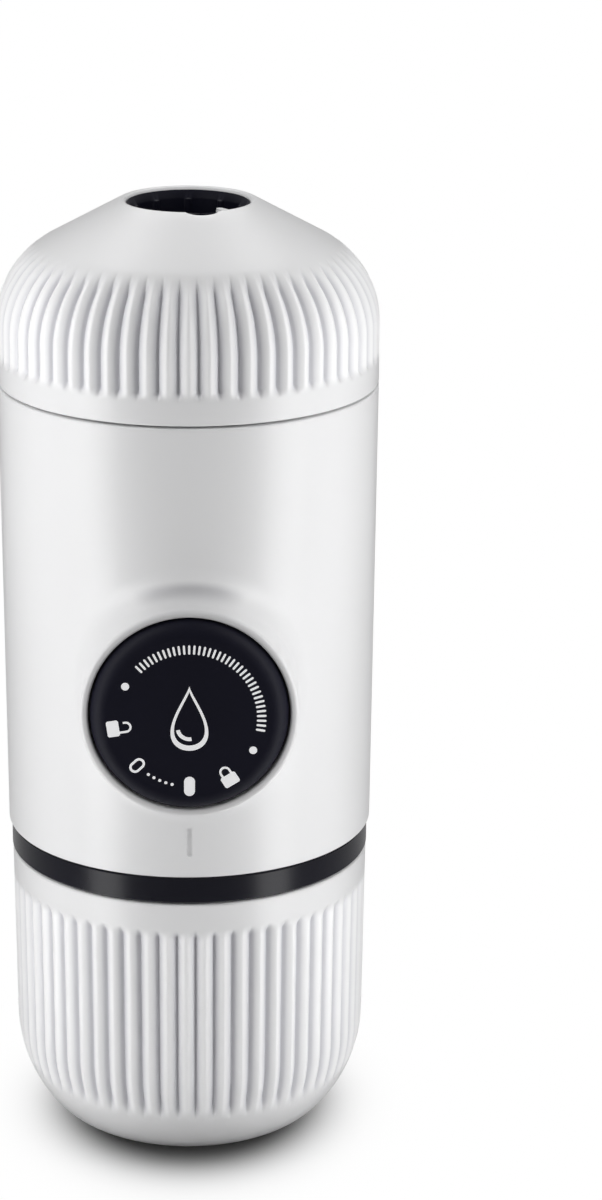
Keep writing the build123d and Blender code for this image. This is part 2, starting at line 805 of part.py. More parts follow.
def piston_end_nut():
    """Nut that holds the cup seal on the rod."""
    low = piston_end - piston_head_length + piston_seal_thickness + screw_gap
    nut = extrude(RegularPolygon(piston_nut_radius, 6), piston_end - low)
    return along_pump(Pos(0, 0, low) * nut - rod(piston_stub_radius + screw_gap, low, piston_end))


# ---- valve block ----
def valve_block():
    """Block behind the cylinder with an upright passage and a valve chamber at each end."""
    back = block_front + block_depth
    body = Box(2 * block_half_width, block_depth, 2 * block_half_height)
    body = fillet(body.edges().filter_by(Axis.Z), 2.0)
    body = Pos(0, block_front + block_depth / 2, pump_level) * body
    ears = Box(2 * ear_reach, ear_thickness, 2 * ear_half_height)
    ears = fillet(ears.edges().filter_by(Axis.Y), 3.0)
    body += Pos(0, block_front + ear_thickness / 2, pump_level) * ears
    body -= along_pump(rod(passage_radius, block_front - 1, valve_offset))
    body -= at_valves(rod(passage_radius, block_low, block_high))
    body -= at_valves(rod(chamber_radius, block_low, block_low + chamber_length))
    body -= at_valves(rod(chamber_radius, block_high - chamber_length, block_high))
    for x in (-block_screw_half_width, block_screw_half_width):
        hole = Rot(-90, 0, 0) * rod(small_screw_radius + screw_gap, block_front, back)
        body -= Pos(x, 0, pump_level) * hole
    return body


def block_screws():
    """Two screws that hold the valve block on the cylinder."""
    back = block_front + ear_thickness + screw_gap
    length = ear_thickness + gasket_thickness + collar_thickness
    one = Rot(90, 0, 0) * screw(small_screw_radius, small_head_radius, small_head_height, length)
    return [Pos(x, back, pump_level) * one for x in (-block_screw_half_width, block_screw_half_width)]


def block_seal():
    """Flat ring between the cylinder and the valve block."""
    low = cylinder_back + screw_gap
    high = block_front - screw_gap
    outer = block_screw_half_width - small_screw_radius - gasket_margin
    return along_pump(tube(outer, bore_radius + fit_gap, low, high))


def valve_fitting(level, up):
    """Barbed fitting, made pointing down from the level and turned over for the top of the block."""
    points = [(water_bore_radius, plug_length), (chamber_radius - screw_gap, plug_length)]
    points += [(chamber_radius - screw_gap, -screw_gap), (fitting_flange_radius, -screw_gap)]
    neck = barb_radius - barb_tooth
    points += [(fitting_flange_radius, -fitting_flange_height), (neck, -fitting_flange_height)]
    tip = -fitting_flange_height - barb_length
    points += [(neck, tip + barb_tooth_back), (barb_radius, tip + barb_tooth_back - barb_tooth), (neck, tip)]
    points += [(water_bore_radius, tip)]
    fitting = turned_points(points)
    if up:
        fitting = Rot(180, 0, 0) * fitting
    return at_valves(Pos(0, 0, level) * fitting)


def inlet_fitting():
    """Barbed fitting under the block."""
    return valve_fitting(block_low, False)


def outlet_fitting():
    """Barbed fitting on top of the block."""
    return valve_fitting(block_high, True)


def seat_low(inlet):
    """Underside of a valve seat."""
    return block_low + plug_length + screw_gap if inlet else block_high - chamber_length + screw_gap


def valve_seat(inlet):
    """Rubber ring that the ball closes."""
    low = seat_low(inlet)
    return at_valves(tube(chamber_radius - screw_gap, seat_hole_radius, low, low + seat_thickness))


def inlet_seat():
    """Seat of the suction valve."""
    return valve_seat(True)


def outlet_seat():
    """Seat of the delivery valve."""
    return valve_seat(False)


def ball_level(inlet):
    """Centre of a ball that rests on its seat."""
    return seat_low(inlet) + seat_thickness + sqrt(ball_radius ** 2 - seat_hole_radius ** 2) + ball_gap


def inlet_ball():
    """Steel ball of the suction valve."""
    return at_valves(Pos(0, 0, ball_level(True)) * Sphere(ball_radius))


def outlet_ball():
    """Steel ball of the delivery valve."""
    return at_valves(Pos(0, 0, ball_level(False)) * Sphere(ball_radius))


def valve_spring(inlet):
    """Light coil spring above a ball."""
    low = ball_level(inlet) + valve_spring_rest
    high = block_low + chamber_length if inlet else block_high - plug_length
    return at_valves(coil(valve_spring_radius, valve_spring_wire, valve_spring_turns, low, high - screw_gap))


def inlet_spring():
    """Spring of the suction valve."""
    return valve_spring(True)


def outlet_spring():
    """Spring of the delivery valve."""
    return valve_spring(False)


def hose(low, high):
    """Straight length of hose over two barbs."""
    return at_valves(tube(barb_radius + screw_gap + hose_wall, barb_radius + screw_gap, low, high))


def suction_hose():
    """Hose from the floor of the body to the suction valve."""
    return hose(adaptor_top + screw_gap, block_low - fitting_flange_height - 2 * screw_gap)


def delivery_hose():
    """Hose from the delivery valve to the brewing head."""
    return hose(block_high + fitting_flange_height + 2 * screw_gap, brew_low - screw_gap)


def hose_clips():
    """Four spring clips on the ends of the hoses."""
    inner = barb_radius + hose_wall + 2 * screw_gap
    outer = inner + clip_thickness
    lows = [adaptor_top + clip_end_gap, block_low - fitting_flange_height - clip_end_gap - clip_height]
    lows += [block_high + fitting_flange_height + clip_end_gap, brew_low - clip_end_gap - clip_height]
    clips = []
    for low in lows:
        clip = tube(outer, inner, low, low + clip_height)
        reach = outer + (clip_ear_length - clip_thickness) / 2
        ears = Pos(0, reach, low + clip_height / 2) * Box(clip_ear_width, clip_ear_length, clip_height)
        clips.append(at_valves(clip + ears))
    return clips


# ---- brewing head ----
def brew_head():
    """Roof of the body with the threaded neck, the water channel and the posts for the long screws."""
    roof_low = body_high - roof_thickness
    crest = neck_radius
    root = neck_radius - thread_depth
    points = [(0, roof_low), (insert_radius - brew_skirt_wall, roof_low), (insert_radius - brew_skirt_wall, brew_low)]
    points += [(insert_radius, brew_low), (insert_radius, body_high), (root, body_high)]
    thread_low = neck_top - thread_inset - neck_thread_turns * thread_pitch
    points += ridges(root, crest, thread_low, neck_thread_turns)
    points += [(root, neck_top - edge_bevel), (root - edge_bevel, neck_top), (neck_bore_radius, neck_top)]
    points += [(neck_bore_radius, chamber_floor), (0, chamber_floor)]
    head = turned_points(points) - seal_groove(core_thread_radius, head_seal_level())
    hole_top = brew_low + tie_thread_depth + screw_end_gap
    for x, y in tie_places():
        head += Pos(x, y, 0) * rod(tie_post_radius, brew_low, roof_low + screw_end_gap)
        head -= Pos(x, y, 0) * rod(tie_screw_radius + screw_gap, brew_low, hole_top)
    head += at_valves(rod(fitting_flange_radius, brew_low, roof_low + screw_end_gap))
    head += at_valves(rod(barb_radius, brew_low - barb_length, brew_low))
    channel_level = roof_low + channel_rise
    head -= at_valves(rod(water_bore_radius, brew_low - barb_length, channel_level))
    run = Rot(-90, 0, 0) * rod(channel_radius, channel_offset, valve_offset)
    head -= Pos(0, 0, channel_level) * run
    head -= Pos(0, channel_offset, 0) * rod(channel_radius, channel_level, chamber_floor)
    head += rod(screen_boss_radius, chamber_floor, chamber_floor + screen_lift)
    screen_hole_low = chamber_floor + screen_lift - screen_screw_length
    return head - rod(small_screw_radius + screw_gap, screen_hole_low, chamber_floor + screen_lift)


def head_seal_level():
    """Level of the round ring in the foot of the neck."""
    return body_high + head_seal_land + seal_wire_radius + seal_clear


def head_seal():
    """Round ring between the neck and the head."""
    return round_seal(core_thread_radius, head_seal_level())


def brew_gasket():
    """Flat rubber ring that the basket rests on."""
    low = chamber_floor
    return tube(neck_bore_radius - fit_gap, brew_gasket_inner, low, low + brew_gasket_height)


def shower_screen():
    """Perforated disc that spreads the water."""
    low = chamber_floor + screen_lift
    high = low + screen_thickness
    disc = tube(screen_radius, small_screw_radius + fit_gap, low, high)
    return disc - perforations(perforation_rings, perforation_pitch, perforation_radius, low - 1, high + 1)


def shower_screw():
    """Screw that holds the shower screen."""
    level = chamber_floor + screen_lift + screen_thickness
    one = Rot(180, 0, 0) * screw(small_screw_radius, small_head_radius, flat_head_height, screen_screw_length)
    return Pos(0, 0, level) * one


# ---- basket ----
def filter_basket():
    """Basket for the ground coffee, with its perforated end at the top."""
    inner = basket_radius - basket_wall
    flange = neck_bore_radius - basket_flange_gap
    points = [(inner, basket_low), (flange, basket_low), (flange, basket_low + basket_flange_height)]
    points += [(basket_radius, basket_low + basket_flange_height), (basket_radius, basket_top - basket_corner)]
    points += [(basket_radius - basket_corner, basket_top), (0, basket_top), (0, basket_top - basket_wall)]
    points += [(inner, basket_top - basket_wall)]
    shell = turned_points(points)
    low = basket_top - basket_wall - 1
    return shell - perforations(perforation_rings, perforation_pitch, perforation_radius, low, basket_top + 1)


def basket_screen():
    """Fine metal screen inside the end of the basket."""
    high = basket_top - basket_wall - screw_gap
    return tube(basket_radius - basket_wall - fit_gap, 0, high - mesh_thickness, high)


# ---- head ----
def head_outline(inset):
    """Outline of the dome from the seam up: wall, shoulder arc and cone, moved inwards by the inset."""
    radius = shoulder_radius - inset
    centre = (shoulder_centre_radius, shoulder_level)
    shoulder = CenterArc(centre, radius, 0, cone_normal)
    end = shoulder @ 1
    top = end.Y + (end.X - hole_radius) * tan(radians(cone_slope))
    return shoulder, (hole_radius, top)


def head_shell():
    """White ribbed dome with the round outlet hole."""
    shoulder, top = head_outline(0)
    inner_shoulder, inner_top = head_outline(head_wall)
    outer = body_top_radius
    inner = body_top_radius - head_wall
    outline = [Polyline((inner, head_low), (outer - edge_bevel, head_low), (outer, head_low + edge_bevel), shoulder @ 0)]
    outline += [shoulder, Line(shoulder @ 1, top), Line(top, inner_top), Line(inner_top, inner_shoulder @ 1)]
    outline += [inner_shoulder, Line(inner_shoulder @ 0, (inner, head_low))]
    dome = turned(outline)
    rim = dome.edges().filter_by(GeomType.CIRCLE).group_by(Axis.Z)[-1]
    dome = fillet(rim, lip_round)
    for angle in core_screw_angles():
        post = rod(core_head_radius + core_post_wall, core_roof_high + screw_gap, core_roof_high + core_post_height)
        hole_top = core_roof_high + core_screw_depth + screw_end_gap
        hole = rod(core_screw_radius + screw_gap, core_roof_high, hole_top)
        place = Rot(0, 0, angle) * Pos(core_screw_circle, 0, 0)
        dome += place * post
        dome -= place * hole
    notch_centre = hole_radius + notch_depth - notch_radius
    notch = Pos(notch_centre, 0, 0) * rod(notch_radius, inner_top[1] - head_wall, head_high + 1)
    dome -= Rot(0, 0, -90 + notch_angle) * notch
    tooth_low = inner_top[1] - tooth_overlap
    tooth_high = head_high - lip_round
    tooth = Box(tooth_depth + 2 * tooth_overlap, tooth_width, tooth_high - tooth_low)
    tooth = Pos(hole_radius + tooth_overlap - tooth_depth / 2, 0, (tooth_low + tooth_high) / 2) * tooth
    dome += Rot(0, 0, -90 + tooth_angle) * tooth
    offset = groove_radius - groove_depth
    start = head_low + head_groove_rise + groove_radius
    bend = CenterArc((shoulder_centre_radius, shoulder_level), shoulder_radius + offset, 0, head_groove_end_angle)
    path = Plane.XZ * (Curve() + [Line((outer + offset, start), bend @ 0), bend])
    return dome - groove_cutters(path, -90)


def core_screw_angles():
    """Angles of the three screws of the core."""
    return (30, 150, 270)


def portafilter_core():
    """Dark inner body of the head: thread skirt, basket chamber and turret under the outlet hole."""
    skirt_low = head_low + core_seam_gap
    crest = neck_radius + thread_clear
    shoulder_low = neck_top + core_step_gap
    sleeve_low = basket_low + basket_flange_height + core_seam_gap
    thread_low = neck_top - thread_inset - neck_thread_turns * thread_pitch
    dome_inner = shoulder_radius - head_wall - core_gap
    wall_top = shoulder_level + sqrt(dome_inner ** 2 - (core_sleeve_radius - shoulder_centre_radius) ** 2)
    cylinder_top = min(wall_top - core_roof / 2, core_roof_high - core_step_gap)
    step = core_roof_high - cylinder_top
    _, inner_top = head_outline(head_wall)
    turret_radius = hole_radius + turret_wall
    turret_top = inner_top[1] - turret_wall * tan(radians(cone_slope)) - turret_gap
    points = [(core_thread_radius, skirt_low), (core_outer_radius, skirt_low)]
    points += [(core_outer_radius, shoulder_low + core_shoulder), (core_sleeve_radius, shoulder_low + core_shoulder)]
    points += [(core_sleeve_radius, cylinder_top), (core_sleeve_radius - step, core_roof_high)]
    points += [(turret_radius, core_roof_high), (turret_radius, turret_top), (hole_radius, turret_top)]
    points += [(hole_radius, core_roof_high), (0, core_roof_high), (0, core_roof_low)]
    sleeve_step = core_sleeve_radius - core_step_gap
    points += [(core_bore_radius, core_roof_low), (core_bore_radius, sleeve_low), (sleeve_step, sleeve_low)]
    points += [(sleeve_step, shoulder_low), (core_thread_radius, shoulder_low)]
    points += list(reversed(ridges(core_thread_radius, crest, thread_low, neck_thread_turns)))
    core = turned_points(points)
    core -= rod(spout_bore_radius, core_roof_low, core_roof_high)
    core -= rod(crema_radius + screw_gap, core_roof_low, core_roof_low + crema_height + screw_gap)
    for angle in core_screw_angles():
        hole = rod(core_screw_radius + screw_gap, core_roof_low, core_roof_high)
        core -= Rot(0, 0, angle) * Pos(core_screw_circle, 0, 0) * hole
    return core


def crema_valve():
    """Rubber disc with a small hole that opens under pressure."""
    return tube(crema_radius, crema_hole_radius, core_roof_low + screw_gap, core_roof_low + crema_height)


def nozzle():
    """Outlet nozzle that shows in the hole of the dome."""
    low = core_roof_high + screw_gap
    flange_top = low + nozzle_flange_height
    tip = head_high - spout_drop
    wide = spout_radius + spout_taper
    edge = nozzle_flange_radius - spout_bevel
    bevel_low = tip - spout_bevel
    points = [(spout_bore_radius, low), (nozzle_flange_radius, low), (nozzle_flange_radius, flange_top - spout_bevel)]
    points += [(edge, flange_top), (wide, flange_top), (spout_radius, bevel_low), (spout_radius - spout_bevel, tip)]
    points += [(spout_bore_radius + spout_bevel, tip), (spout_bore_radius, bevel_low)]
    part = turned_points(points)
    fin_top = tip - fin_drop
    for angle in (45, 135, 225, 315):
        place = Pos((edge + spout_radius - spout_bevel) / 2, 0, (flange_top + fin_top) / 2)
        fin = Box(edge - spout_radius + spout_bevel, fin_thickness, fin_top - flange_top)
        part += Rot(0, 0, angle) * place * fin
    return part


def nozzle_seal():
    """Round ring between the nozzle and the turret."""
    level = core_roof_high + seal_wire_radius + screw_gap
    gap = hole_radius - nozzle_flange_radius
    wire = gap / 2 - screw_gap
    return Pos(0, 0, level) * Torus(nozzle_flange_radius + gap / 2, wire)


def core_screws():
    """Three screws that hold the core in the dome."""
    one = Pos(0, 0, core_roof_low - screw_gap)
    one = one * screw(core_screw_radius, core_head_radius, core_head_height, core_roof + core_screw_depth)
    return [Rot(0, 0, angle) * Pos(core_screw_circle, 0, 0) * one for angle in core_screw_angles()]


# ---- write each sub-part ----
sub_parts = [
    cup, water_tank, cup_grip_ring, tank_seal, base_adaptor, inlet_strainer, vent_valve, body_shell, tie_screws,
    knob_cap, knob_face, knob_screw, knob_lock_ring, piston_guide, cylinder_flange, flange_screws, spring_washer,
    return_spring, pump_cylinder, rod_gland, gland_seal, piston_rod, piston_cup_seal, piston_end_nut, valve_block,
    block_screws, block_seal, inlet_fitting, outlet_fitting, inlet_seat, outlet_seat, inlet_ball, outlet_ball,
    inlet_spring, outlet_spring, suction_hose, delivery_hose, hose_clips, brew_head, head_seal, brew_gasket,
    shower_screen, shower_screw, filter_basket, basket_screen, head_shell, portafilter_core, crema_valve, nozzle,
    nozzle_seal, core_screws,
]

os.makedirs("parts", exist_ok=True)
for make in sub_parts:
    shape = make()
    if isinstance(shape, list):
        shape = Compound(children=[item.solid() for item in shape])
    export_step(shape, f"parts/{make.__name__}.step")
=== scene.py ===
import json
import logging
import math
from collections.abc import Callable
from dataclasses import dataclass, field
from enum import Enum

import bmesh
import bpy
import numpy as np
from mathutils import Matrix, Vector

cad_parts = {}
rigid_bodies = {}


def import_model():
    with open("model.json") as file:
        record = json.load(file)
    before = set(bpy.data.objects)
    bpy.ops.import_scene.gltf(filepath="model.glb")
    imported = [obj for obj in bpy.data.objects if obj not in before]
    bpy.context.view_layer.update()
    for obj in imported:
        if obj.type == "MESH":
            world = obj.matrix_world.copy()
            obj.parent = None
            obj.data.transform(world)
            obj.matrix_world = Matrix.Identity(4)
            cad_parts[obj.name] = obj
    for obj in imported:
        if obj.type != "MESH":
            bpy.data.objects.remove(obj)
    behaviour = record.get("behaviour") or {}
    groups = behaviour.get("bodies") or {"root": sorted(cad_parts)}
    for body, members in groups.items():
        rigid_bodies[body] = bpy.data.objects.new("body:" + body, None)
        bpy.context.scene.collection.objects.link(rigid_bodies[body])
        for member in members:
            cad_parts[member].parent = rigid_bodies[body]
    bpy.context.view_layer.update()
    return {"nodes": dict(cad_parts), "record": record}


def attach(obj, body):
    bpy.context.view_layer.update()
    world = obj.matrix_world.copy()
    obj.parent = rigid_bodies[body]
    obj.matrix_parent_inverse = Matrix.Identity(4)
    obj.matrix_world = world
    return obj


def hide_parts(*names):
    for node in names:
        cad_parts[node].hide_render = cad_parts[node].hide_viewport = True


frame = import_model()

MM = 0.001
FULL_TURN = 2 * math.pi
log = logging.getLogger("espresso_maker")

Pair = tuple[float, float]
Points = list[Pair]
Shade = tuple[float, float, float]
Numbers = np.ndarray | float
Piece = bpy.types.Object

# Lengths in millimetres and angles in degrees that classes and helpers share.
PUMP_LEVEL = 83.9
RIB_COUNT = 60
CUP_RIB_TURN = -1.2
CUP_RISE, CUP_FALL = (9.0, 11.6), (41.9, 43.9)
DOME_RISE = (131.7, 133.4)
MERGE = 0.002
SLIVER = 0.0005
PLAIN_EDGE, RIBBED_EDGE = 35.0, 60.0
WHITE = (1.0, 1.0, 1.0)


# ---- node trees
def math_operator(operation: str, is_reflected: bool = False) -> Callable[..., "Wire"]:
    """Method of a wire that adds one Math node, reflected where the wire stands on the right."""
    def apply(wire: "Wire", other: "Wire | float" = 0.0) -> "Wire":
        """Output of the Math node."""
        first, second = (other, wire) if is_reflected else (wire, other)
        return wire.nodes.node("ShaderNodeMath", {"operation": operation}, {0: first, 1: second})
    return apply


class Wire:
    """An output socket of a node that can be used in Python arithmetic; angles are in radians."""

    def __init__(self, nodes: "NodeTree", socket: bpy.types.NodeSocket | None) -> None:
        """Keep the tree that owns the socket."""
        self.nodes = nodes
        self.socket = socket

    __add__, __radd__ = math_operator("ADD"), math_operator("ADD", is_reflected=True)
    __sub__, __rsub__ = math_operator("SUBTRACT"), math_operator("SUBTRACT", is_reflected=True)
    __mul__, __rmul__ = math_operator("MULTIPLY"), math_operator("MULTIPLY", is_reflected=True)
    __pow__, __rpow__ = math_operator("POWER"), math_operator("POWER", is_reflected=True)
    cosine, sine = math_operator("COSINE"), math_operator("SINE")
    angle_from, at_least = math_operator("ARCTAN2"), math_operator("MAXIMUM")


class NodeTree:
    """A tree whose nodes are all added by one method."""

    def __init__(self, tree: bpy.types.NodeTree) -> None:
        """Start with the tree empty."""
        self.tree = tree
        tree.nodes.clear()

    def node(self, kind: str, settings: dict | None = None, sockets: dict | None = None,
             output: int | str = 0) -> Wire:
        """Add a node.

        Args:
            kind: Type name of the node.
            settings: Attributes of the node, set before its sockets.
            sockets: Values or wires of the input sockets, by name or number; a colour has no alpha.
            output: Name or number of the output that is returned.

        Returns:
            The chosen output as a wire, which is empty for a node that ends the tree.
        """
        made = self.tree.nodes.new(kind)
        for key, value in (settings or {}).items():
            setattr(made, key, value)
        for key, value in (sockets or {}).items():
            socket = made.inputs[key]
            if isinstance(value, Wire):
                self.tree.links.new(value.socket, socket)
            else:
                socket.default_value = (*value, 1.0) if socket.type == "RGBA" else value
        return Wire(self, made.outputs[output] if made.outputs else None)


class Paint(NodeTree):
    """The shader nodes of a material or a world."""

    def __init__(self, owner: bpy.types.Material | bpy.types.World) -> None:
        """Take over the node tree of its owner."""
        owner.use_nodes = True
        super().__init__(owner.node_tree)
        self.owner = owner

    def place(self, stretch: Shade = (1, 1, 1)) -> Wire:
        """Object coordinates, stretched along the axes."""
        where = self.node("ShaderNodeTexCoord", output="Object")
        return self.node("ShaderNodeMapping", sockets={"Vector": where, "Scale": stretch})

    def parts(self, where: Wire) -> tuple[Wire, ...]:
        """The X, Y and Z of a place."""
        return tuple(self.node("ShaderNodeSeparateXYZ", sockets={"Vector": where}, output=axis)
                     for axis in "XYZ")

    def noise(self, where: Wire, size: float, detail: float) -> Wire:
        """Noise whose bumps are about a size in millimetres across."""
        return self.node("ShaderNodeTexNoise",
                         sockets={"Vector": where, "Scale": 1 / (size * MM), "Detail": detail})

    def ease(self, value: Wire, low: float, high: float) -> Wire:
        """Share that goes smoothly from 0 to 1 between two lengths in millimetres."""
        return self.node("ShaderNodeMapRange", {"interpolation_type": "SMOOTHSTEP"},
                         {"Value": value, "From Min": low * MM, "From Max": high * MM})

    def blend(self, share: Wire, first: Shade | Wire, second: Shade | Wire) -> Wire:
        """Colour between two colours by a share."""
        return self.node("ShaderNodeMix", {"data_type": "RGBA"}, {0: share, 6: first, 7: second}, 2)

    def bump(self, height: Wire, depth: float) -> Wire:
        """Normal that follows a height, in millimetres of depth."""
        return self.node("ShaderNodeBump", sockets={"Height": height, "Distance": depth * MM})

    def glaze(self, sockets: dict) -> Wire:
        """Principled shader with the given sockets."""
        return self.node("ShaderNodeBsdfPrincipled", sockets=sockets)

    def mix(self, share: Wire, first: Wire, second: Wire) -> Wire:
        """Shader between two shaders by a share."""
        return self.node("ShaderNodeMixShader", sockets={0: share, 1: first, 2: second})

    def camera_sight(self) -> Wire:
        """1 for light that the camera sees directly and 0 for all other light."""
        return self.node("ShaderNodeLightPath", output="Is Camera Ray")

    def close(self, shader: Wire) -> bpy.types.Material | bpy.types.World:
        """Join the last shader to the output and return the owner."""
        self.node(f"ShaderNodeOutput{type(self.owner).__name__}", sockets={"Surface": shader})
        return self.owner


# ---- finishes
@dataclass(frozen=True)
class MouldedPlastic:
    """Moulded plastic with a fine eroded grain and a faint cloudy gloss; lengths in millimetres."""

    name: str
    shade: Shade
    roughness: float
    grain: float
    grain_depth: float
    cloud: float
    tone_change: float
    coat: float = 0.0
    coat_roughness: float = 0.25
    ior: float = 1.49
    glow: float = 0.0
    cloud_gloss: float = 0.06
    grain_gloss: float = 0.05

    def toned(self, paint: Paint, where: Wire, base: Wire) -> Wire:
        """Base colour as it is; the kinds that follow paint light or shade onto it."""
        return base

    def material(self) -> bpy.types.Material:
        """Build the plastic."""
        paint = Paint(bpy.data.materials.new(self.name))
        where = paint.place()
        fine = paint.noise(where, self.grain, detail=2.0)
        cloud = paint.noise(where, self.cloud, detail=4.0)
        low, high = (tuple(min(1.0, c * (1 + change)) for c in self.shade)
                     for change in (-self.tone_change, self.tone_change))
        return paint.close(paint.glaze({
            "Base Color": self.toned(paint, where, paint.blend(cloud, low, high)),
            "Roughness": self.roughness + self.cloud_gloss * (cloud - 0.5) + self.grain_gloss * (fine - 0.5),
            "IOR": self.ior,
            "Coat Weight": self.coat,
            "Coat Roughness": self.coat_roughness,
            "Emission Color": high,
            "Emission Strength": self.glow,
            "Normal": paint.bump(fine, self.grain_depth),
        }))


@dataclass(frozen=True)
class RibbedPlastic(MouldedPlastic):
    """Moulded plastic with painted light on its rib crests and painted shade in its grooves."""

    turn: float = 0.0
    rise: Pair = CUP_RISE
    fall: Pair = CUP_FALL
    # Painted light and shade: the crests get a paler colour and the grooves a darker one than the plastic
    # has.
    crest: Shade = (0.93, 0.93, 0.935)
    groove: Shade = (0.66, 0.66, 0.69)
    sharpness: float = 1.6

    def toned(self, paint: Paint, where: Wire, base: Wire) -> Wire:
        """Blend from the painted crest light to the painted groove shade round the axis, between the ends of
        the grooves.
        """
        aside, ahead, height = paint.parts(where)
        phase = (aside.angle_from(ahead * -1.0) - math.radians(self.turn)) * float(RIB_COUNT)
        groove = (0.5 - 0.5 * phase.cosine()) ** self.sharpness
        band = paint.ease(height, *self.rise) * (1.0 - paint.ease(height, *self.fall))
        return paint.blend(band, base, paint.blend(groove, self.crest, self.groove))


@dataclass(frozen=True)
class BossPlastic(MouldedPlastic):
    """Moulded plastic with a painted shade in the hollow above the button's boss, on its upper front side.
    """

    hollow: Pair = (16.4, 18.4)
    rim: Pair = (18.4, 19.7)
    lobe: Pair = (0.8, 3.0)
    lobe_cosine: float = 0.82
    front: Pair = (20.0, 24.0)
    # Painted shade that the upper front of the hollow darkens to.
    hollow_shade: Shade = (0.5, 0.5, 0.515)

    def toned(self, paint: Paint, where: Wire, base: Wire) -> Wire:
        """Blend towards the painted shade in a lobe over the boss, on the front only."""
        aside, ahead, height = paint.parts(where)
        up = height - PUMP_LEVEL * MM
        away = (aside * aside + up * up) ** 0.5
        ring = paint.ease(away, *self.hollow) * (1.0 - paint.ease(away, *self.rim))
        lobe = paint.ease(up - away * self.lobe_cosine, *self.lobe) * paint.ease(ahead * -1.0, *self.front)
        return paint.blend(ring * lobe, base, self.hollow_shade)


@dataclass(frozen=True)
class BrushedSteel:
    """Stainless steel with fine drawn lines; lengths in millimetres."""

    name: str
    shade: Shade = (0.62, 0.62, 0.63)
    dull_share: float = 0.86
    roughness: float = 0.28
    line_gloss: float = 0.14
    line_width: float = 0.18
    line_depth: float = 0.004
    stretch: Shade = (1.0, 1.0, 0.06)
    cloud: float = 6.0

    def material(self) -> bpy.types.Material:
        """Build the steel."""
        paint = Paint(bpy.data.materials.new(self.name))
        lines = paint.noise(paint.place(self.stretch), self.line_width, detail=4.0)
        cloud = paint.noise(paint.place(), self.cloud, detail=3.0)
        dull = tuple(c * self.dull_share for c in self.shade)
        return paint.close(paint.glaze({
            "Base Color": paint.blend(cloud, dull, self.shade),
            "Metallic": 1.0,
            "Roughness": self.roughness + self.line_gloss * (lines - 0.5),
            "Normal": paint.bump(lines, self.line_depth),
        }))


@dataclass(frozen=True)
class Rubber:
    """Matt rubber with a dusty bloom; lengths in millimetres."""

    name: str
    shade: Shade = (0.03, 0.03, 0.031)
    bloom_shade: Shade = (0.064, 0.064, 0.0658)
    bloom_share: float = 0.5
    roughness: float = 0.62
    grain_gloss: float = 0.1
    grain: float = 0.3
    grain_depth: float = 0.01
    bloom: float = 3.0

    def material(self) -> bpy.types.Material:
        """Build the rubber."""
        paint = Paint(bpy.data.materials.new(self.name))
        where = paint.place()
        fine = paint.noise(where, self.grain, detail=3.0)
        bloom = paint.noise(where, self.bloom, detail=4.0) * self.bloom_share
        return paint.close(paint.glaze({
            "Base Color": paint.blend(bloom, self.shade, self.bloom_shade),
            "Roughness": self.roughness + self.grain_gloss * (fine - 0.5),
            "Normal": paint.bump(fine, self.grain_depth),
        }))


# Shade, roughness, grain, its depth, cloud and change of tone that the white finishes share.
WHITE_SATIN = ((0.80, 0.80, 0.806), 0.31, 0.25, 0.005, 18.0, 0.012)


class Finish(Enum):
    """The finishes of the maker, one for each material slot and a few for single pieces."""

    WHITE = MouldedPlastic("white_satin", *WHITE_SATIN)
    WHITE_CUP = RibbedPlastic("white_cup", *WHITE_SATIN, turn=CUP_RIB_TURN)
    WHITE_DOME = RibbedPlastic("white_dome", *WHITE_SATIN, rise=DOME_RISE, fall=(146.8, 150.2))
    WHITE_BODY = BossPlastic("white_body", *WHITE_SATIN)
    DIAL = MouldedPlastic("dial_satin", (0.0062, 0.0062, 0.0145), 0.5, 0.3, 0.012, 6.0, 0.12, ior=1.24)
    RING = MouldedPlastic("tank_satin", (0.003, 0.003, 0.008), 0.26, 0.3, 0.006, 9.0, 0.1, ior=1.36)
    BLACK = MouldedPlastic("black_moulded", (0.004, 0.004, 0.0055), 0.3, 0.4, 0.01, 5.0, 0.15)
    GREY = MouldedPlastic("grey_moulded", (0.3, 0.31, 0.33), 0.45, 0.4, 0.01, 8.0, 0.05)
    # The print glows faintly: painted light that makes the white ink read brighter.
    INK = MouldedPlastic("white_print", (0.95, 0.95, 0.96), 0.5, 0.15, 0.003, 2.0, 0.04, glow=0.2)
    HOSE = MouldedPlastic("milky_hose", (0.72, 0.73, 0.70), 0.3, 0.8, 0.01, 6.0, 0.04, coat=0.3)
    STEEL = BrushedSteel("brushed_steel")
    RUBBER = Rubber("black_rubber")

    def build(self) -> bpy.types.Material:
        """The material of this finish, made on first use."""
        return bpy.data.materials.get(self.value.name) or self.value.material()


# ---- mesh helpers
def arc(centre: Pair, radius: float, start: float, end: float, steps: int) -> Points:
    """Points of an arc, with the angles in degrees and both ends included."""
    angles = np.radians(np.linspace(start, end, steps + 1))
    return [(centre[0] + radius * math.cos(a), centre[1] + radius * math.sin(a)) for a in angles]


def run(start: Pair, end: Pair, steps: int) -> Points:
    """Points of a straight run, without its first point."""
    return [(start[0] + (end[0] - start[0]) * i / steps, start[1] + (end[1] - start[1]) * i / steps)
            for i in range(1, steps + 1)]


def capsule(width: float, height: float, steps: int) -> Points:
    """Outline of an upright capsule about the middle, with the steps of each round end."""
    half, reach = width / 2, (height - width) / 2
    return arc((0.0, reach), half, 0, 180, steps) + arc((0.0, -reach), half, 180, 360, steps)


def smooth_share(place: float, low: float, high: float) -> float:
    """Share that goes smoothly from 0 to 1 between two places."""
    share = min(max((place - low) / (high - low), 0.0), 1.0)
    return share * share * (3 - 2 * share)


def round_axis(radius: Numbers, angle: Numbers, level: Numbers) -> np.ndarray:
    """Corners round the upright axis, with angles in radians from -Y towards +X."""
    return np.stack([radius * np.sin(angle), -radius * np.cos(angle), level + 0 * angle], -1)


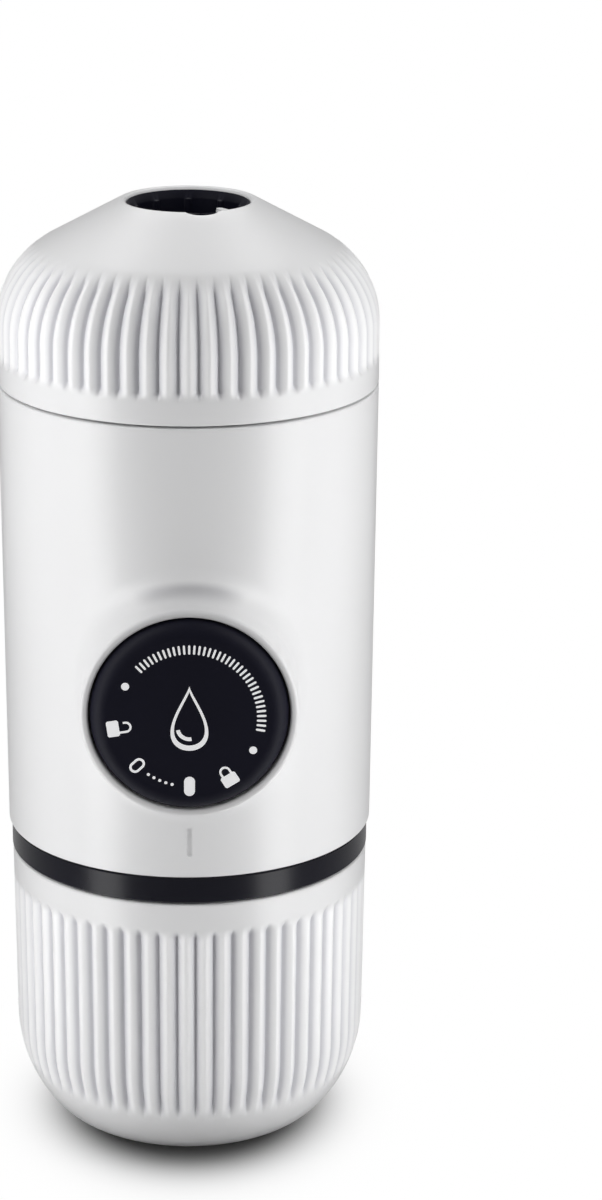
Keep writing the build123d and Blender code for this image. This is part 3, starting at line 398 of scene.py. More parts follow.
def round_pump(radius: float, y: Numbers, turn: np.ndarray) -> np.ndarray:
    """Corners round the pump's axis, at a radius and a place along Y, for turns round it."""
    return np.stack([radius * np.cos(turn), y + 0 * turn, PUMP_LEVEL + radius * np.sin(turn)], 1)


def grid_faces(rows: int, columns: int, closed_rows: bool = False, closed_columns: bool = False) -> list:
    """Quads of a grid of corners numbered row by row."""
    faces = []
    for r in range(rows if closed_rows else rows - 1):
        for c in range(columns if closed_columns else columns - 1):
            r2, c2 = (r + 1) % rows, (c + 1) % columns
            faces.append((r * columns + c, r * columns + c2, r2 * columns + c2, r2 * columns + c))
    return faces


def capped(rows: list) -> tuple[np.ndarray, list]:
    """Corners and faces of a body that joins closed rows of corners and has a flat face at each end."""
    count, columns = len(rows), len(rows[0])
    faces = grid_faces(count, columns, closed_columns=True)
    faces += [tuple(range(columns)), tuple(range(count * columns - 1, (count - 1) * columns - 1, -1))]
    return np.array(rows).reshape(-1, 3), faces


def joined_grids(grids: list[tuple[np.ndarray, bool]]) -> tuple[np.ndarray, list]:
    """Corners and faces of several grids of corners, each given with whether its columns close."""
    corners, faces, used = [], [], 0
    for grid, is_closed in grids:
        rows, columns = grid.shape[:2]
        faces += [tuple(i + used for i in f) for f in grid_faces(rows, columns, closed_columns=is_closed)]
        corners.append(grid.reshape(-1, 3))
        used += rows * columns
    return np.concatenate(corners), faces


def add_object(name: str, data: bpy.types.ID) -> Piece:
    """Object that shows some data, linked to the scene."""
    made = bpy.data.objects.new(name, data)
    bpy.context.scene.collection.objects.link(made)
    return made


def new_object(name: str, corners: np.ndarray | list, faces: list, smooth: bool = True) -> Piece:
    """Object at the origin from corners in millimetres."""
    mesh = bpy.data.meshes.new(name)
    mesh.from_pydata((np.asarray(corners, float) * MM).tolist(), [], faces)
    mesh.validate()
    if smooth:
        mesh.shade_smooth()
    return add_object(name, mesh)


def finish_mesh(piece: Piece, edge_angle: float = PLAIN_EDGE) -> None:
    """Close holes, merge doubles, turn faces outwards and keep edges sharper than an angle."""
    work = bmesh.new()
    work.from_mesh(piece.data)
    bmesh.ops.remove_doubles(work, verts=work.verts, dist=MERGE * MM)
    open_edges = [e for e in work.edges if e.is_boundary]
    if open_edges:
        bmesh.ops.holes_fill(work, edges=open_edges, sides=0)
    bmesh.ops.dissolve_degenerate(work, edges=work.edges, dist=SLIVER * MM)
    bmesh.ops.recalc_face_normals(work, faces=work.faces)
    for edge in work.edges:
        edge.smooth = len(edge.link_faces) == 2 and edge.calc_face_angle(0.0) < math.radians(edge_angle)
    work.to_mesh(piece.data)
    work.free()
    piece.data.shade_smooth()


def dress(piece: Piece, finish: Finish) -> None:
    """Give a piece its only finish, then close and smooth its mesh."""
    piece.data.materials.clear()
    piece.data.materials.append(finish.build())
    finish_mesh(piece)


def to_plain(piece: Piece) -> Piece:
    """Turn the evaluated result of an object's modifiers into its own plain mesh."""
    graph = bpy.context.evaluated_depsgraph_get()
    mesh = bpy.data.meshes.new_from_object(piece.evaluated_get(graph), depsgraph=graph)
    piece.modifiers.clear()
    piece.data = mesh
    return piece


# ---- geometry nodes
class RoundArray:
    """Geometry Nodes tree that repeats a mesh around Z."""

    INPUTS = {"Count": "Int", "Start": "Float", "Step": "Float", "Radius": "Float", "Merge": "Float",
              "Material": "Material"}

    def __init__(self) -> None:
        """Build the tree once."""
        self.tree = bpy.data.node_groups.new("round_array", "GeometryNodeTree")
        new_socket = self.tree.interface.new_socket
        for way in ("INPUT", "OUTPUT"):
            new_socket("Geometry", in_out=way, socket_type="NodeSocketGeometry")
        self.ids = {name: new_socket(name, in_out="INPUT", socket_type=f"NodeSocket{kind}").identifier
                    for name, kind in self.INPUTS.items()}
        nodes = NodeTree(self.tree)
        given = {name: nodes.node("NodeGroupInput", output=name) for name in ("Geometry", *self.INPUTS)}
        turn = nodes.node("GeometryNodeInputIndex") * given["Step"] + given["Start"]
        spot = nodes.node("ShaderNodeCombineXYZ", sockets={0: turn.cosine() * given["Radius"],
                                                           1: turn.sine() * given["Radius"]})
        points = nodes.node("GeometryNodePoints", sockets={"Count": given["Count"], "Position": spot})
        spin = nodes.node("ShaderNodeCombineXYZ", sockets={2: turn})
        copies = nodes.node("GeometryNodeInstanceOnPoints",
                            sockets={"Points": points, "Instance": given["Geometry"], "Rotation": spin})
        real = nodes.node("GeometryNodeRealizeInstances", sockets={0: copies})
        joined = nodes.node("GeometryNodeMergeByDistance", sockets={0: real, "Distance": given["Merge"]})
        dressed = nodes.node("GeometryNodeSetMaterial", sockets={0: joined, "Material": given["Material"]})
        nodes.node("NodeGroupOutput", sockets={0: dressed})

    def apply(self, piece: Piece, finish: Finish, count: int, step: float, start: float = 0.0,
              radius: float = 0.0, merge: float = 0.0) -> Piece:
        """Repeat a piece around Z and keep the result as its plain mesh.

        Args:
            piece: Object whose mesh is repeated.
            finish: Finish of all the copies.
            count: Number of copies.
            step: Angle between copies, in degrees.
            start: Angle of the first copy, in degrees.
            radius: Distance of the copies from the axis, in millimetres.
            merge: Distance under which corners are joined, in millimetres.

        Returns:
            The same object.
        """
        modifier = piece.modifiers.new("round_array", "NODES")
        modifier.node_group = self.tree
        values = {"Count": count, "Start": math.radians(start), "Step": math.radians(step),
                  "Radius": radius * MM, "Merge": merge * MM, "Material": finish.build()}
        for name, value in values.items():
            modifier[self.ids[name]] = value
        return to_plain(piece)


# ---- ribbed pieces
@dataclass
class Ribs:
    """Rounded grip ribs with narrow grooves between them; lengths in millimetres and angles in degrees."""

    groove_depth: float = 1.12
    flank_slope: float = 31.0
    flank_width: float = 1.12
    crest_round: float = 0.12
    slot_half_width: float = 0.52
    slot_depth: float = 0.52
    offsets: tuple[float, ...] = (0, 0.14, 0.28, 0.42, 0.56, 0.72, 0.98, 1.24, 1.44)

    def columns(self, radius: float) -> tuple[np.ndarray, np.ndarray]:
        """Angles of one rib's columns and how deep each lies, as a share of the groove, at a radius."""
        pitch = FULL_TURN * radius / RIB_COUNT
        side = np.array(self.offsets)
        places = np.concatenate([side, [pitch / 2], pitch - side[::-1]])
        away = np.minimum(places, pitch - places)
        rise = np.minimum(pitch / 2 - away, self.flank_width) * math.tan(math.radians(self.flank_slope))
        flank = np.hypot(rise, self.crest_round) - self.crest_round
        wave = 0.5 + 0.5 * np.cos(np.pi * away / self.slot_half_width)
        depth = flank + self.slot_depth * np.where(away < self.slot_half_width, wave, 0.0)
        return (places / pitch - 0.5) * FULL_TURN / RIB_COUNT, depth / depth.max()

    def ring(self, array: RoundArray, name: str, outline: Points, shares: list[float], radius: float,
             finish: Finish, turn: float = 0.0) -> Piece:
        """Turned outline with grooves all round.

        Args:
            array: Tree that repeats the rib.
            name: Name of the object.
            outline: Outline points as (radius, height).
            shares: Depth share of the groove at each outline point.
            radius: Radius at which the groove width is true.
            finish: Finish of the piece.
            turn: Angle of the first rib.

        Returns:
            The piece, with its mesh not finished yet.
        """
        angles, depth = self.columns(radius)
        line = np.array(outline)
        along = np.gradient(line, axis=0)
        normal = np.stack([along[:, 1], -along[:, 0]], 1)
        normal /= np.linalg.norm(normal, axis=1, keepdims=True) + 1e-12
        corners = []
        for (r, z), (nr, nz), share in zip(line, normal, shares):
            sink = self.groove_depth * share * depth
            corners.append(round_axis(r - nr * sink, angles, z - nz * sink))
        piece = new_object(name, np.concatenate(corners), grid_faces(len(line), len(angles)))
        return array.apply(piece, finish, RIB_COUNT, 360 / RIB_COUNT, turn, merge=MERGE)


@dataclass
class RibbedCup:
    """Slip-on drinking cup with a rounded bottom."""

    array: RoundArray
    ribs: Ribs = field(default_factory=Ribs)
    height: float = 48.3
    rim_radius: float = 29.6
    lean: float = 0.67
    wall: float = 2.0
    bowl_height: float = 18.2
    bowl_radius: float = 22.5
    bowl_turn: float = 41.5
    hub_radius: float = 4.0
    rim_round: float = 0.6
    fine_rows: Pair = (41.6, 44.1)

    def outline(self) -> tuple[Points, list[float]]:
        """Closed outline from the middle of the foot round the rim to the inner floor, and groove shares."""
        turn, lean = math.radians(self.bowl_turn), math.radians(self.lean)
        foot_radius = (self.bowl_height - self.bowl_radius * math.sin(turn)) / (1 - math.sin(turn))
        bowl_top = self.bowl_height - self.bowl_radius * math.sin(lean)
        top_radius = self.rim_radius - (self.height - bowl_top) * math.tan(lean)
        bowl_centre = (top_radius - self.bowl_radius * math.cos(lean), self.bowl_height)
        foot_centre = (bowl_centre[0] + (self.bowl_radius - foot_radius) * math.cos(turn), foot_radius)
        low, high = -self.bowl_turn, -self.lean
        points = [(self.hub_radius, 0.0)]
        points += run(points[-1], (foot_centre[0], 0.0), 3)
        points += arc(foot_centre, foot_radius, -90, low, 10)[1:]
        points += arc(bowl_centre, self.bowl_radius, low, high, 20)[1:]
        r = self.rim_round
        rim_low = self.height - r
        rim_out = self.rim_radius - r * math.tan(lean)
        for level, steps in ((self.fine_rows[0], 2), (self.fine_rows[1], 9), (rim_low, 1)):
            points += run(points[-1], (rim_out - (rim_low - level) * math.tan(lean), level), steps)
        points += arc((rim_out - r, rim_low), r, 0, 90, 5)[1:]
        inner = self.rim_radius - self.wall / math.cos(lean)
        points += run(points[-1], (inner + r, self.height), 1)
        points += arc((inner + r, rim_low), r, 90, 180, 5)[1:]
        outer_count = len(points)
        bowl = arc(bowl_centre, self.bowl_radius - self.wall, high, low, 10)
        points += run(points[-1], bowl[0], 2) + bowl[1:]
        points += arc(foot_centre, foot_radius - self.wall, low, -90, 5)[1:]
        points += run(points[-1], (self.hub_radius, self.wall), 1)
        shares = [smooth_share(z, *CUP_RISE) * (1 - smooth_share(z, *CUP_FALL)) if i < outer_count else 0.0
                  for i, (_, z) in enumerate(points)]
        return points, shares

    def build(self) -> list[Piece]:
        """Build and dress the cup."""
        points, shares = self.outline()
        piece = self.ribs.ring(self.array, "ribbed_cup", points, shares, self.rim_radius, Finish.WHITE_CUP,
                               CUP_RIB_TURN)
        finish_mesh(piece, RIBBED_EDGE)
        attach(piece, "cup")
        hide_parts("cup")
        return [piece]


@dataclass
class RibbedDome:
    """Dome of the outlet head, with the round hole, its notch, its tooth and the ring that lines it."""

    array: RoundArray
    ribs: Ribs = field(default_factory=Ribs)
    low: float = 128.0
    high: float = 157.3
    outer_radius: float = 30.75
    wall: float = 2.0
    shoulder_radius: float = 14.8
    shoulder_steps: int = 27
    cone_slope: float = 28.7
    hole_radius: float = 9.9
    lip_round: float = 0.8
    edge_round: float = 0.3
    fine_rows: Pair = (131.5, 133.6)
    groove_fade: Pair = (41.0, 58.0)
    notch_angle: float = 12.6
    notch_radius: float = 2.8
    notch_depth: float = 1.3
    notch_spread: float = 2.56
    notch_easing: float = 1.5
    notch_band: float = 4.0
    tooth_angle: float = 35.0
    tooth_width: float = 1.2
    tooth_root: float = 0.5
    tooth_reach: float = 1.9
    tooth_side: tuple[Pair, ...] = ((1.0, 0.3), (0.8, 0.85), (0.4, 1.0))
    tooth_levels: tuple[Pair, ...] = ((155.5, 0.9), (155.7, 1.0), (156.95, 1.0), (157.2, 0.86))
    tooth_round: float = 0.12
    gap_width: float = 1.6
    gap_low: float = 154.5
    gap_slant: float = 0.2
    collar_low: float = 149.9
    collar_flare: float = 155.7
    collar_high: float = 156.85
    collar_inner: float = 8.85
    collar_mouth: float = 9.62
    collar_outer: float = 9.8
    collar_edge: float = 0.08
    collar_start: float = 5.0
    collar_steps: int = 350
    keys: int = 10
    key_depth: float = 0.45
    key_cosine: float = 0.8

    def outline(self) -> tuple[Points, list[float]]:
        """Closed outline from the inner edge of the seam round the lip and back, and the groove shares."""
        bend = 90 - self.cone_slope
        turn, slope = math.radians(bend), math.radians(self.cone_slope)
        centre_radius = self.outer_radius - self.shoulder_radius
        lip_level = self.high - self.lip_round + self.lip_round / math.cos(slope)
        lip_radius = self.hole_radius + self.lip_round
        cone_width = centre_radius + self.shoulder_radius * math.cos(turn) - lip_radius
        level = lip_level - self.shoulder_radius * math.sin(turn) - cone_width * math.tan(slope)
        centre = (centre_radius, level)
        inner = self.outer_radius - self.wall
        e = self.edge_round
        points = [(inner, self.low), (self.outer_radius - e, self.low)]
        points += arc((self.outer_radius - e, self.low + e), e, -90, 0, 3)[1:]
        for height, steps in ((self.fine_rows[0], 1), (self.fine_rows[1], 8), (level, 3)):
            points += run(points[-1], (self.outer_radius, height), steps)
        shares = [smooth_share(z, *DOME_RISE) for _, z in points]
        points += arc(centre, self.shoulder_radius, 0, bend, self.shoulder_steps)[1:]
        shares += [1 - smooth_share(i * bend / self.shoulder_steps, *self.groove_fade)
                   for i in range(1, self.shoulder_steps + 1)]
        lip = arc((lip_radius, self.high - self.lip_round), self.lip_round, bend, 180, 8)
        points += run(points[-1], lip[0], 7) + lip[1:]
        inner_arc = arc(centre, self.shoulder_radius - self.wall, bend, 0, 8)
        inner_top = inner_arc[0][1] + (inner_arc[0][0] - self.hole_radius) * math.tan(slope)
        points += run(points[-1], (self.hole_radius, inner_top), 2)
        points += run(points[-1], inner_arc[0], 3) + inner_arc[1:]
        points += run(points[-1], (inner, self.low), 2)
        return points, shares + [0.0] * (len(points) - len(shares))

    def cut_notch(self, piece: Piece) -> None:
        """Move the lip outwards at the notch."""
        place = np.empty(len(piece.data.vertices) * 3)
        piece.data.vertices.foreach_get("co", place)
        place = place.reshape(-1, 3) / MM
        radius = np.hypot(place[:, 0], place[:, 1])
        angle = np.arctan2(place[:, 0], -place[:, 1]) - math.radians(self.notch_angle)
        centre = self.hole_radius + self.notch_depth - self.notch_radius
        across = np.abs(centre * np.sin(angle))
        reach = centre * np.cos(angle) + np.sqrt(np.maximum(self.notch_radius ** 2 - across ** 2, 0))
        bulge = np.maximum(reach - self.hole_radius, 0) * (across < self.notch_radius) * (np.cos(angle) > 0)
        fall = np.clip(1 - (radius - self.hole_radius) / self.notch_spread, 0, 1)
        bulge *= fall ** self.notch_easing * (place[:, 2] > self.high - self.notch_band)
        place[:, :2] *= ((radius + bulge) / np.maximum(radius, 1e-6))[:, None]
        place[:, 2] -= bulge * math.tan(math.radians(self.cone_slope))
        piece.data.vertices.foreach_set("co", (place * MM).ravel())
        piece.data.update()

    def tooth(self) -> Piece:
        """Small rounded tooth that stands in from the lip."""
        half = self.tooth_width / 2
        side = [(half, self.tooth_root)] + [(half * x, -self.tooth_reach * y) for x, y in self.tooth_side]
        section = [(-x, y) for x, y in side] + side[::-1]
        rows = [[(x * size, -self.hole_radius - y * size, level) for x, y in section]
                for level, size in self.tooth_levels]
        piece = new_object("rim_tooth", *capped(rows))
        piece.data.transform(Matrix.Rotation(math.radians(self.tooth_angle), 4, "Z"))
        piece.modifiers.new("soften", "BEVEL").width = self.tooth_round * MM
        to_plain(piece)
        dress(piece, Finish.WHITE)
        return piece

    def collar(self) -> Piece:
        """Dark ring that lines the hole, with small keys inside and a gap in its top for the tooth."""
        gap = math.degrees(self.gap_width / 2 / self.hole_radius)
        turns = [gap, gap + self.gap_slant]
        turns += [*np.linspace(self.collar_start, 360 - self.collar_start, self.collar_steps)]
        turns += [360 - turn for turn in turns[1::-1]]
        edge = self.collar_edge
        rows = []
        for turn in turns:
            top = self.gap_low if turn in (turns[0], turns[-1]) else self.collar_high
            a = math.radians(self.tooth_angle + turn)
            swell = max(0.0, (math.cos(a * self.keys) - self.key_cosine) / (1 - self.key_cosine))
            inner = self.collar_inner - self.key_depth * swell ** 0.5
            flare = min(self.collar_flare, top - 3 * edge)
            line = [(self.collar_outer, self.collar_low), (self.collar_outer, top - edge),
                    (self.collar_outer - edge, top), (self.collar_mouth, top),
                    (self.collar_mouth - edge, top - edge), (self.collar_inner, flare),
                    (inner, flare - 2 * edge), (inner, self.collar_low)]
            rows.append([round_axis(r, a, z) for r, z in line])
        faces = grid_faces(len(rows), len(rows[0]), closed_rows=True, closed_columns=True)
        piece = new_object("outlet_collar", np.array(rows).reshape(-1, 3), faces)
        dress(piece, Finish.DIAL)
        return piece

    def build(self) -> list[Piece]:
        """Build and dress the dome, its tooth and its collar."""
        points, shares = self.outline()
        piece = self.ribs.ring(self.array, "ribbed_dome", points, shares, self.outer_radius,
                               Finish.WHITE_DOME)
        self.cut_notch(piece)
        finish_mesh(piece, RIBBED_EDGE)
        tooth = self.tooth()
        collar = self.collar()
        for made in (piece, tooth, collar):
            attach(made, "outlet_head")
        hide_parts("head_shell")
        return [piece, tooth, collar]


# ---- body
@dataclass
class Body:
    """White body with the flared boss of the button and the index tick."""

    low: float = 53.2
    high: float = 127.6
    foot_radius: float = 30.15
    top_radius: float = 30.75
    bore_radius: float = 28.0
    edge_round: float = 0.3
    boss_radius: float = 17.05
    boss_bore: float = 15.75
    boss_front: float = -38.5
    boss_depth: float = -21.0
    lip_round: float = 0.62
    mouth_round: float = 0.35
    flare: float = 5.0
    flare_steps: int = 18
    boss_rings: Pair = (0.33, 0.66)
    patch_angle: float = 62.0
    patch_rows: int = 25
    patch_easing: float = 1.25
    side_steps: int = 96
    back_steps: int = 240
    tick_level: float = 59.3
    tick_height: float = 5.0
    tick_width: float = 0.9
    tick_depth: float = 0.24
    cutter_reach: float = 1.0

    def radius(self, level: Numbers) -> Numbers:
        """Outer radius of the body at a level."""
        spread = (self.top_radius - self.foot_radius) / (self.high - self.low)
        return self.foot_radius + spread * (level - self.low)

    def on_body(self, angle: np.ndarray, level: Numbers) -> np.ndarray:
        """Corners on the outside, from the angle and the level."""
        return round_axis(self.radius(level), angle, level)

    def frame_loop(self) -> np.ndarray:
        """Angles and levels of the frame round the boss patch, counter-clockwise from its lower left."""
        wide = math.radians(self.patch_angle)
        low, high = self.low + self.edge_round, self.high - self.edge_round
        ends = [(-wide, low), (wide, low), (wide, high), (-wide, high)]
        loop = []
        for start, end in zip(ends, ends[1:] + ends[:1]):
            loop += [start] + run(start, end, self.side_steps)[:-1]
        return np.array(loop).T

    def boss_rows(self, turn: np.ndarray) -> list[np.ndarray]:
        """Rows of corners from the body over flare and lip into the bore, for turns round the boss."""
        cos, sin = np.cos(turn), np.sin(turn)
        reach = self.boss_radius + self.flare
        ball = self.radius(PUMP_LEVEL + reach * sin) + self.flare
        centre = round_pump(reach, -np.sqrt(ball ** 2 - (reach * cos) ** 2), turn)
        to_body = centre * (-1, -1, 0) / ball[:, None]
        to_boss = np.stack([-cos, 0 * cos, -sin], 1)
        swing = np.arccos(np.clip((to_body * to_boss).sum(1), -1, 1))[:, None]
        rows = []
        for share in np.linspace(0, 1, self.flare_steps + 1):
            arm = (np.sin((1 - share) * swing) * to_body + np.sin(share * swing) * to_boss) / np.sin(swing)
            rows.append(centre + self.flare * arm)
        flare_end = rows[-1][:, 1]
        e, m = self.lip_round, self.mouth_round
        lip = arc((self.boss_radius - e, self.boss_front + e), e, 0, -90, 6)
        for share in self.boss_rings:
            rows.append(round_pump(self.boss_radius, flare_end * (1 - share) + lip[0][1] * share, turn))
        mouth = arc((self.boss_bore + m, self.boss_front + m), m, -90, -180, 4)
        line = lip + mouth + run(mouth[-1], (self.boss_bore, self.boss_depth), 3)
        line.append((self.boss_radius, self.boss_depth))
        rows += [round_pump(r, y, turn) for r, y in line]
        bore_wall = -np.sqrt(self.bore_radius ** 2 - (self.boss_radius * cos) ** 2)
        return rows + [round_pump(self.boss_radius, bore_wall, turn)]

    def shell(self) -> Piece:
        """Outer wall with the boss, the edges and the inner wall."""
        frame_edge = self.frame_loop()
        rows = self.boss_rows(np.arctan2(frame_edge[1] - PUMP_LEVEL, frame_edge[0] * self.foot_radius))
        boss_edge = np.stack([np.arctan2(rows[0][:, 0], -rows[0][:, 1]), rows[0][:, 2]])
        shares = np.linspace(1, 0, self.patch_rows + 1)[:-1] ** self.patch_easing
        patch = [self.on_body(*(boss_edge + (frame_edge - boss_edge) * share)) for share in shares]
        wide, e = math.radians(self.patch_angle), self.edge_round
        back = np.linspace(wide, FULL_TURN - wide, self.back_steps + 1)
        levels = np.linspace(self.low + e, self.high - e, self.side_steps + 1)
        wall = np.stack([self.on_body(back, z) for z in levels])
        front = np.linspace(-wide, wide, self.side_steps + 1)
        full = np.concatenate([front[:-1], back[:-1]])
        top = arc((self.top_radius - e, self.high - e), e, 0, 90, 3)
        bottom = arc((self.foot_radius - e, self.low + e), e, 0, -90, 3)
        inner_top, inner_low = (self.bore_radius, self.high), (self.bore_radius, self.low)
        ends = top + [inner_top] + run(inner_top, inner_low, 4) + bottom[::-1]
        ring = np.stack([round_axis(r, full, z) for r, z in ends])
        grids = [(np.stack(patch + rows), True), (wall, False), (ring, True)]
        return new_object("body_with_boss", *joined_grids(grids))

    def tick_cutter(self) -> Piece:
        """Round-ended bar that cuts the index tick."""
        section = capsule(self.tick_width, self.tick_height, 8)
        front = -self.radius(self.tick_level)
        rows = [[(x, y, self.tick_level + z) for x, z in section]
                for y in (front - self.cutter_reach, front + self.tick_depth)]
        piece = new_object("tick_cutter", *capped(rows), smooth=False)
        finish_mesh(piece)
        return piece

    def build(self) -> list[Piece]:
        """Build and dress the body."""
        piece = self.shell()
        finish_mesh(piece)
        cutter = self.tick_cutter()
        cut = piece.modifiers.new("tick", "BOOLEAN")
        cut.operation = "DIFFERENCE"
        cut.solver = "EXACT"
        cut.object = cutter
        to_plain(piece)
        bpy.data.objects.remove(cutter)
        dress(piece, Finish.WHITE_BODY)
        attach(piece, "main_body")
        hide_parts("body_shell")
        return [piece]


# ---- push button
@dataclass(frozen=True)
class MarkRow:
    """A capsule print that repeats along the mark circle; lengths in millimetres and angles in degrees."""

    name: str
    width: float
    length: float
    end_steps: int
    count: int
    step: float
    start: float
    turn: float = 0.0


@dataclass(frozen=True)
class Padlock:
    """Padlock pictogram, drawn as (right, up) from its middle; lengths in millimetres."""

    name: str
    clock: float
    half_width: float = 1.3
    half_height: float = 0.95
    corner_cut: float = 0.22
    block_up: float = -0.75
    bow_up: float = 0.15
    bow_outer: float = 0.92
    bow_inner: float = 0.58
    bow_rise: float = 0.6
    bow_steps: int = 10
    free_end: float = 0.0

    def block(self) -> Points:
        """Outline of the block with its corners cut."""
        w, h, c = self.half_width, self.half_height, self.corner_cut
        right = [(w - c, -h), (w, -h + c), (w, h - c), (w - c, h)]
        return [(x, y + self.block_up) for x, y in right + [(-x, y) for x, y in right[::-1]]]

    def bow(self) -> Points:
        """Outline of the bow, whose left end may stand free of the block."""
        sides = [[(r, 0.0), *arc((0.0, self.bow_rise), r, 0, 180, self.bow_steps), (-r, self.free_end)]
                 for r in (self.bow_outer, self.bow_inner)]
        return [(x, y + self.bow_up) for x, y in sides[0] + sides[1][::-1]]


@dataclass
class PushButton:
    """Round push button with printed marks; flat shapes are drawn as (right, up) from its middle."""

    array: RoundArray
    front: float = -40.25
    radius: float = 15.5
    edge_round: float = 2.8
    edge_steps: int = 16
    face_rings: Pair = (6.0, 12.1)
    back: float = -35.0
    back_round: float = 0.2
    skirt_radius: float = 14.6
    skirt_inner: float = 13.2
    skirt_back: float = -15.2
    floor: float = -37.75
    steps: int = 192
    print_depth: float = 0.05
    print_thickness: float = 0.095
    mark_radius: float = 11.2
    round_steps: int = 11
    index_size: Pair = (1.7, 3.2)
    open_clock: float = 46.5
    open_outer: Pair = (1.8, 2.7)
    open_inner: Pair = (1.05, 1.95)
    rows: tuple[MarkRow, ...] = (
        MarkRow("path_dots", 0.5, 0.5, 7, 5, -5.2, -104.0),
        MarkRow("stop_dots", 1.25, 1.25, 11, 2, 180.0, -28.0),
        MarkRow("fine_scale", 0.34, 1.5, 5, 37, -4.0, 134.0, turn=90.0),
    )
    padlocks: tuple[Padlock, ...] = (
        Padlock("shut_lock", -32.0),
        Padlock("open_lock", 82.0, bow_rise=1.1, free_end=0.75),
    )
    drop_outer: Pair = (7.6, 10.6)
    drop_inner: Pair = (6.2, 8.9)
    drop_taper: float = 1.6
    drop_swell: float = 1.12
    drop_steps: int = 48
    glint_level: float = -1.6
    glint_radii: Pair = (1.5, 2.1)
    glint_angles: Pair = (190.0, 280.0)

    def along_pump(self, piece: Piece, depth: float) -> None:
        """Stand a flat drawing in the face, at a depth along Y."""
        turn = Matrix(((1, 0, 0, 0), (0, 0, -1, depth * MM), (0, 1, 0, PUMP_LEVEL * MM), (0, 0, 0, 1)))
        piece.data.transform(turn)

    def cap(self) -> Piece:
        """Turned cap with a rounded edge, skirt and open back."""
        face = self.front + self.print_depth
        r = self.edge_round
        edge = arc((self.radius - r, self.front + r), r, -90, 0, self.edge_steps)
        line = [(ring, face) for ring in (0.0, *self.face_rings, edge[0][0])] + edge[1:]
        line += [(self.radius, self.back - self.back_round), (self.radius - self.back_round, self.back)]
        line += [(self.skirt_radius, self.back), (self.skirt_radius, self.skirt_back)]
        line += [(self.skirt_inner, self.skirt_back), (self.skirt_inner, self.floor), (0.0, self.floor)]
        angles = np.linspace(0, FULL_TURN, self.steps, endpoint=False)
        corners = np.concatenate([round_pump(ring, y, angles) for ring, y in line])
        return new_object("push_button", corners, grid_faces(len(line), self.steps, closed_columns=True))

    def slab(self, name: str, outer: Points, inner: Points | None = None) -> Piece:
        """Thin flat print from an outline, or from two outlines with as many points."""
        thick = self.print_thickness
        if inner is None:
            rows = [[(x, y, z) for x, y in outer] for z in (0.0, thick)]
            return new_object(name, *capped(rows), smooth=False)
        sides = ((0.0, outer), (thick, outer), (thick, inner), (0.0, inner))
        corners = [(x, y, z) for z, line in sides for x, y in line]
        faces = grid_faces(len(sides), len(outer), closed_rows=True, closed_columns=True)
        return new_object(name, corners, faces, smooth=False)

    def at_clock(self, piece: Piece, degrees: float) -> Piece:
        """Print moved out to the mark circle, at an angle clockwise from six o'clock, standing radially."""
        out = Matrix.Translation((0, -self.mark_radius * MM, 0))
        piece.data.transform(Matrix.Rotation(math.radians(-degrees), 4, "Z") @ out)
        return piece

    def drop(self, width: float, height: float) -> Points:
        """Outline of a water drop about the middle."""
        points = []
        for t in np.linspace(0, FULL_TURN, self.drop_steps, endpoint=False):
            side = self.drop_swell * math.sin(t) * math.sin(t / 2) ** self.drop_taper
            points.append((width / 2 * side, height / 2 * math.cos(t)))
        return points

    def marks(self) -> list[Piece]:
        """Printed marks: index capsule, open oval, dots, fine scale, two padlocks and a drop."""
        index, oval, hollow = (capsule(*size, self.round_steps)
                               for size in (self.index_size, self.open_outer, self.open_inner))
        made = [self.at_clock(self.slab("index_mark", index), 0.0),
                self.at_clock(self.slab("open_mark", oval, hollow), self.open_clock)]
        for row in self.rows:
            dot = self.slab(row.name, capsule(row.width, row.length, row.end_steps))
            dot.data.transform(Matrix.Rotation(math.radians(row.turn), 4, "Z"))
            made.append(self.array.apply(dot, Finish.INK, row.count, row.step, row.start, self.mark_radius))
        for lock in self.padlocks:
            for suffix, line in (("block", lock.block()), ("bow", lock.bow())):
                made.append(self.at_clock(self.slab(f"{lock.name}_{suffix}", line), lock.clock))
        made.append(self.slab("drop_mark", self.drop(*self.drop_outer), self.drop(*self.drop_inner)))
        near, far = (arc((0.0, self.glint_level), r, *self.glint_angles, self.round_steps)
                     for r in self.glint_radii)
        made.append(self.slab("drop_glint", far + near[::-1]))
        return made

    def build(self) -> list[Piece]:
        """Build and dress the button and its marks."""
        cap = self.cap()
        dress(cap, Finish.DIAL)
        marks = self.marks()
        for mark in marks:
            self.along_pump(mark, self.front + 2 * self.print_depth)
            dress(mark, Finish.INK)
        for piece in [cap] + marks:
            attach(piece, "knob")
        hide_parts("knob_cap", "knob_face")
        return [cap] + marks


# ---- carried-over pieces
@dataclass
class CarriedPieces:
    """The pieces that keep their solid shape and get their finish by material slot."""

    slots: dict[str, Finish] = field(default_factory=lambda: {
        "white_plastic": Finish.WHITE,
        "dark_plastic": Finish.RING,
        "black_plastic": Finish.BLACK,
        "grey_plastic": Finish.GREY,
        "steel": Finish.STEEL,
        "black_rubber": Finish.RUBBER,
        "clear_hose": Finish.HOSE,
    })

    def dress(self) -> list[Piece]:
        """Give every node the finish of its slot."""
        dressed = []
        for part in frame["record"]["subparts"]:
            node = frame["nodes"][part["node"]]
            node.data.materials.clear()
            node.data.materials.append(self.slots[part["material_slot"]].build())
            dressed.append(node)
        return dressed


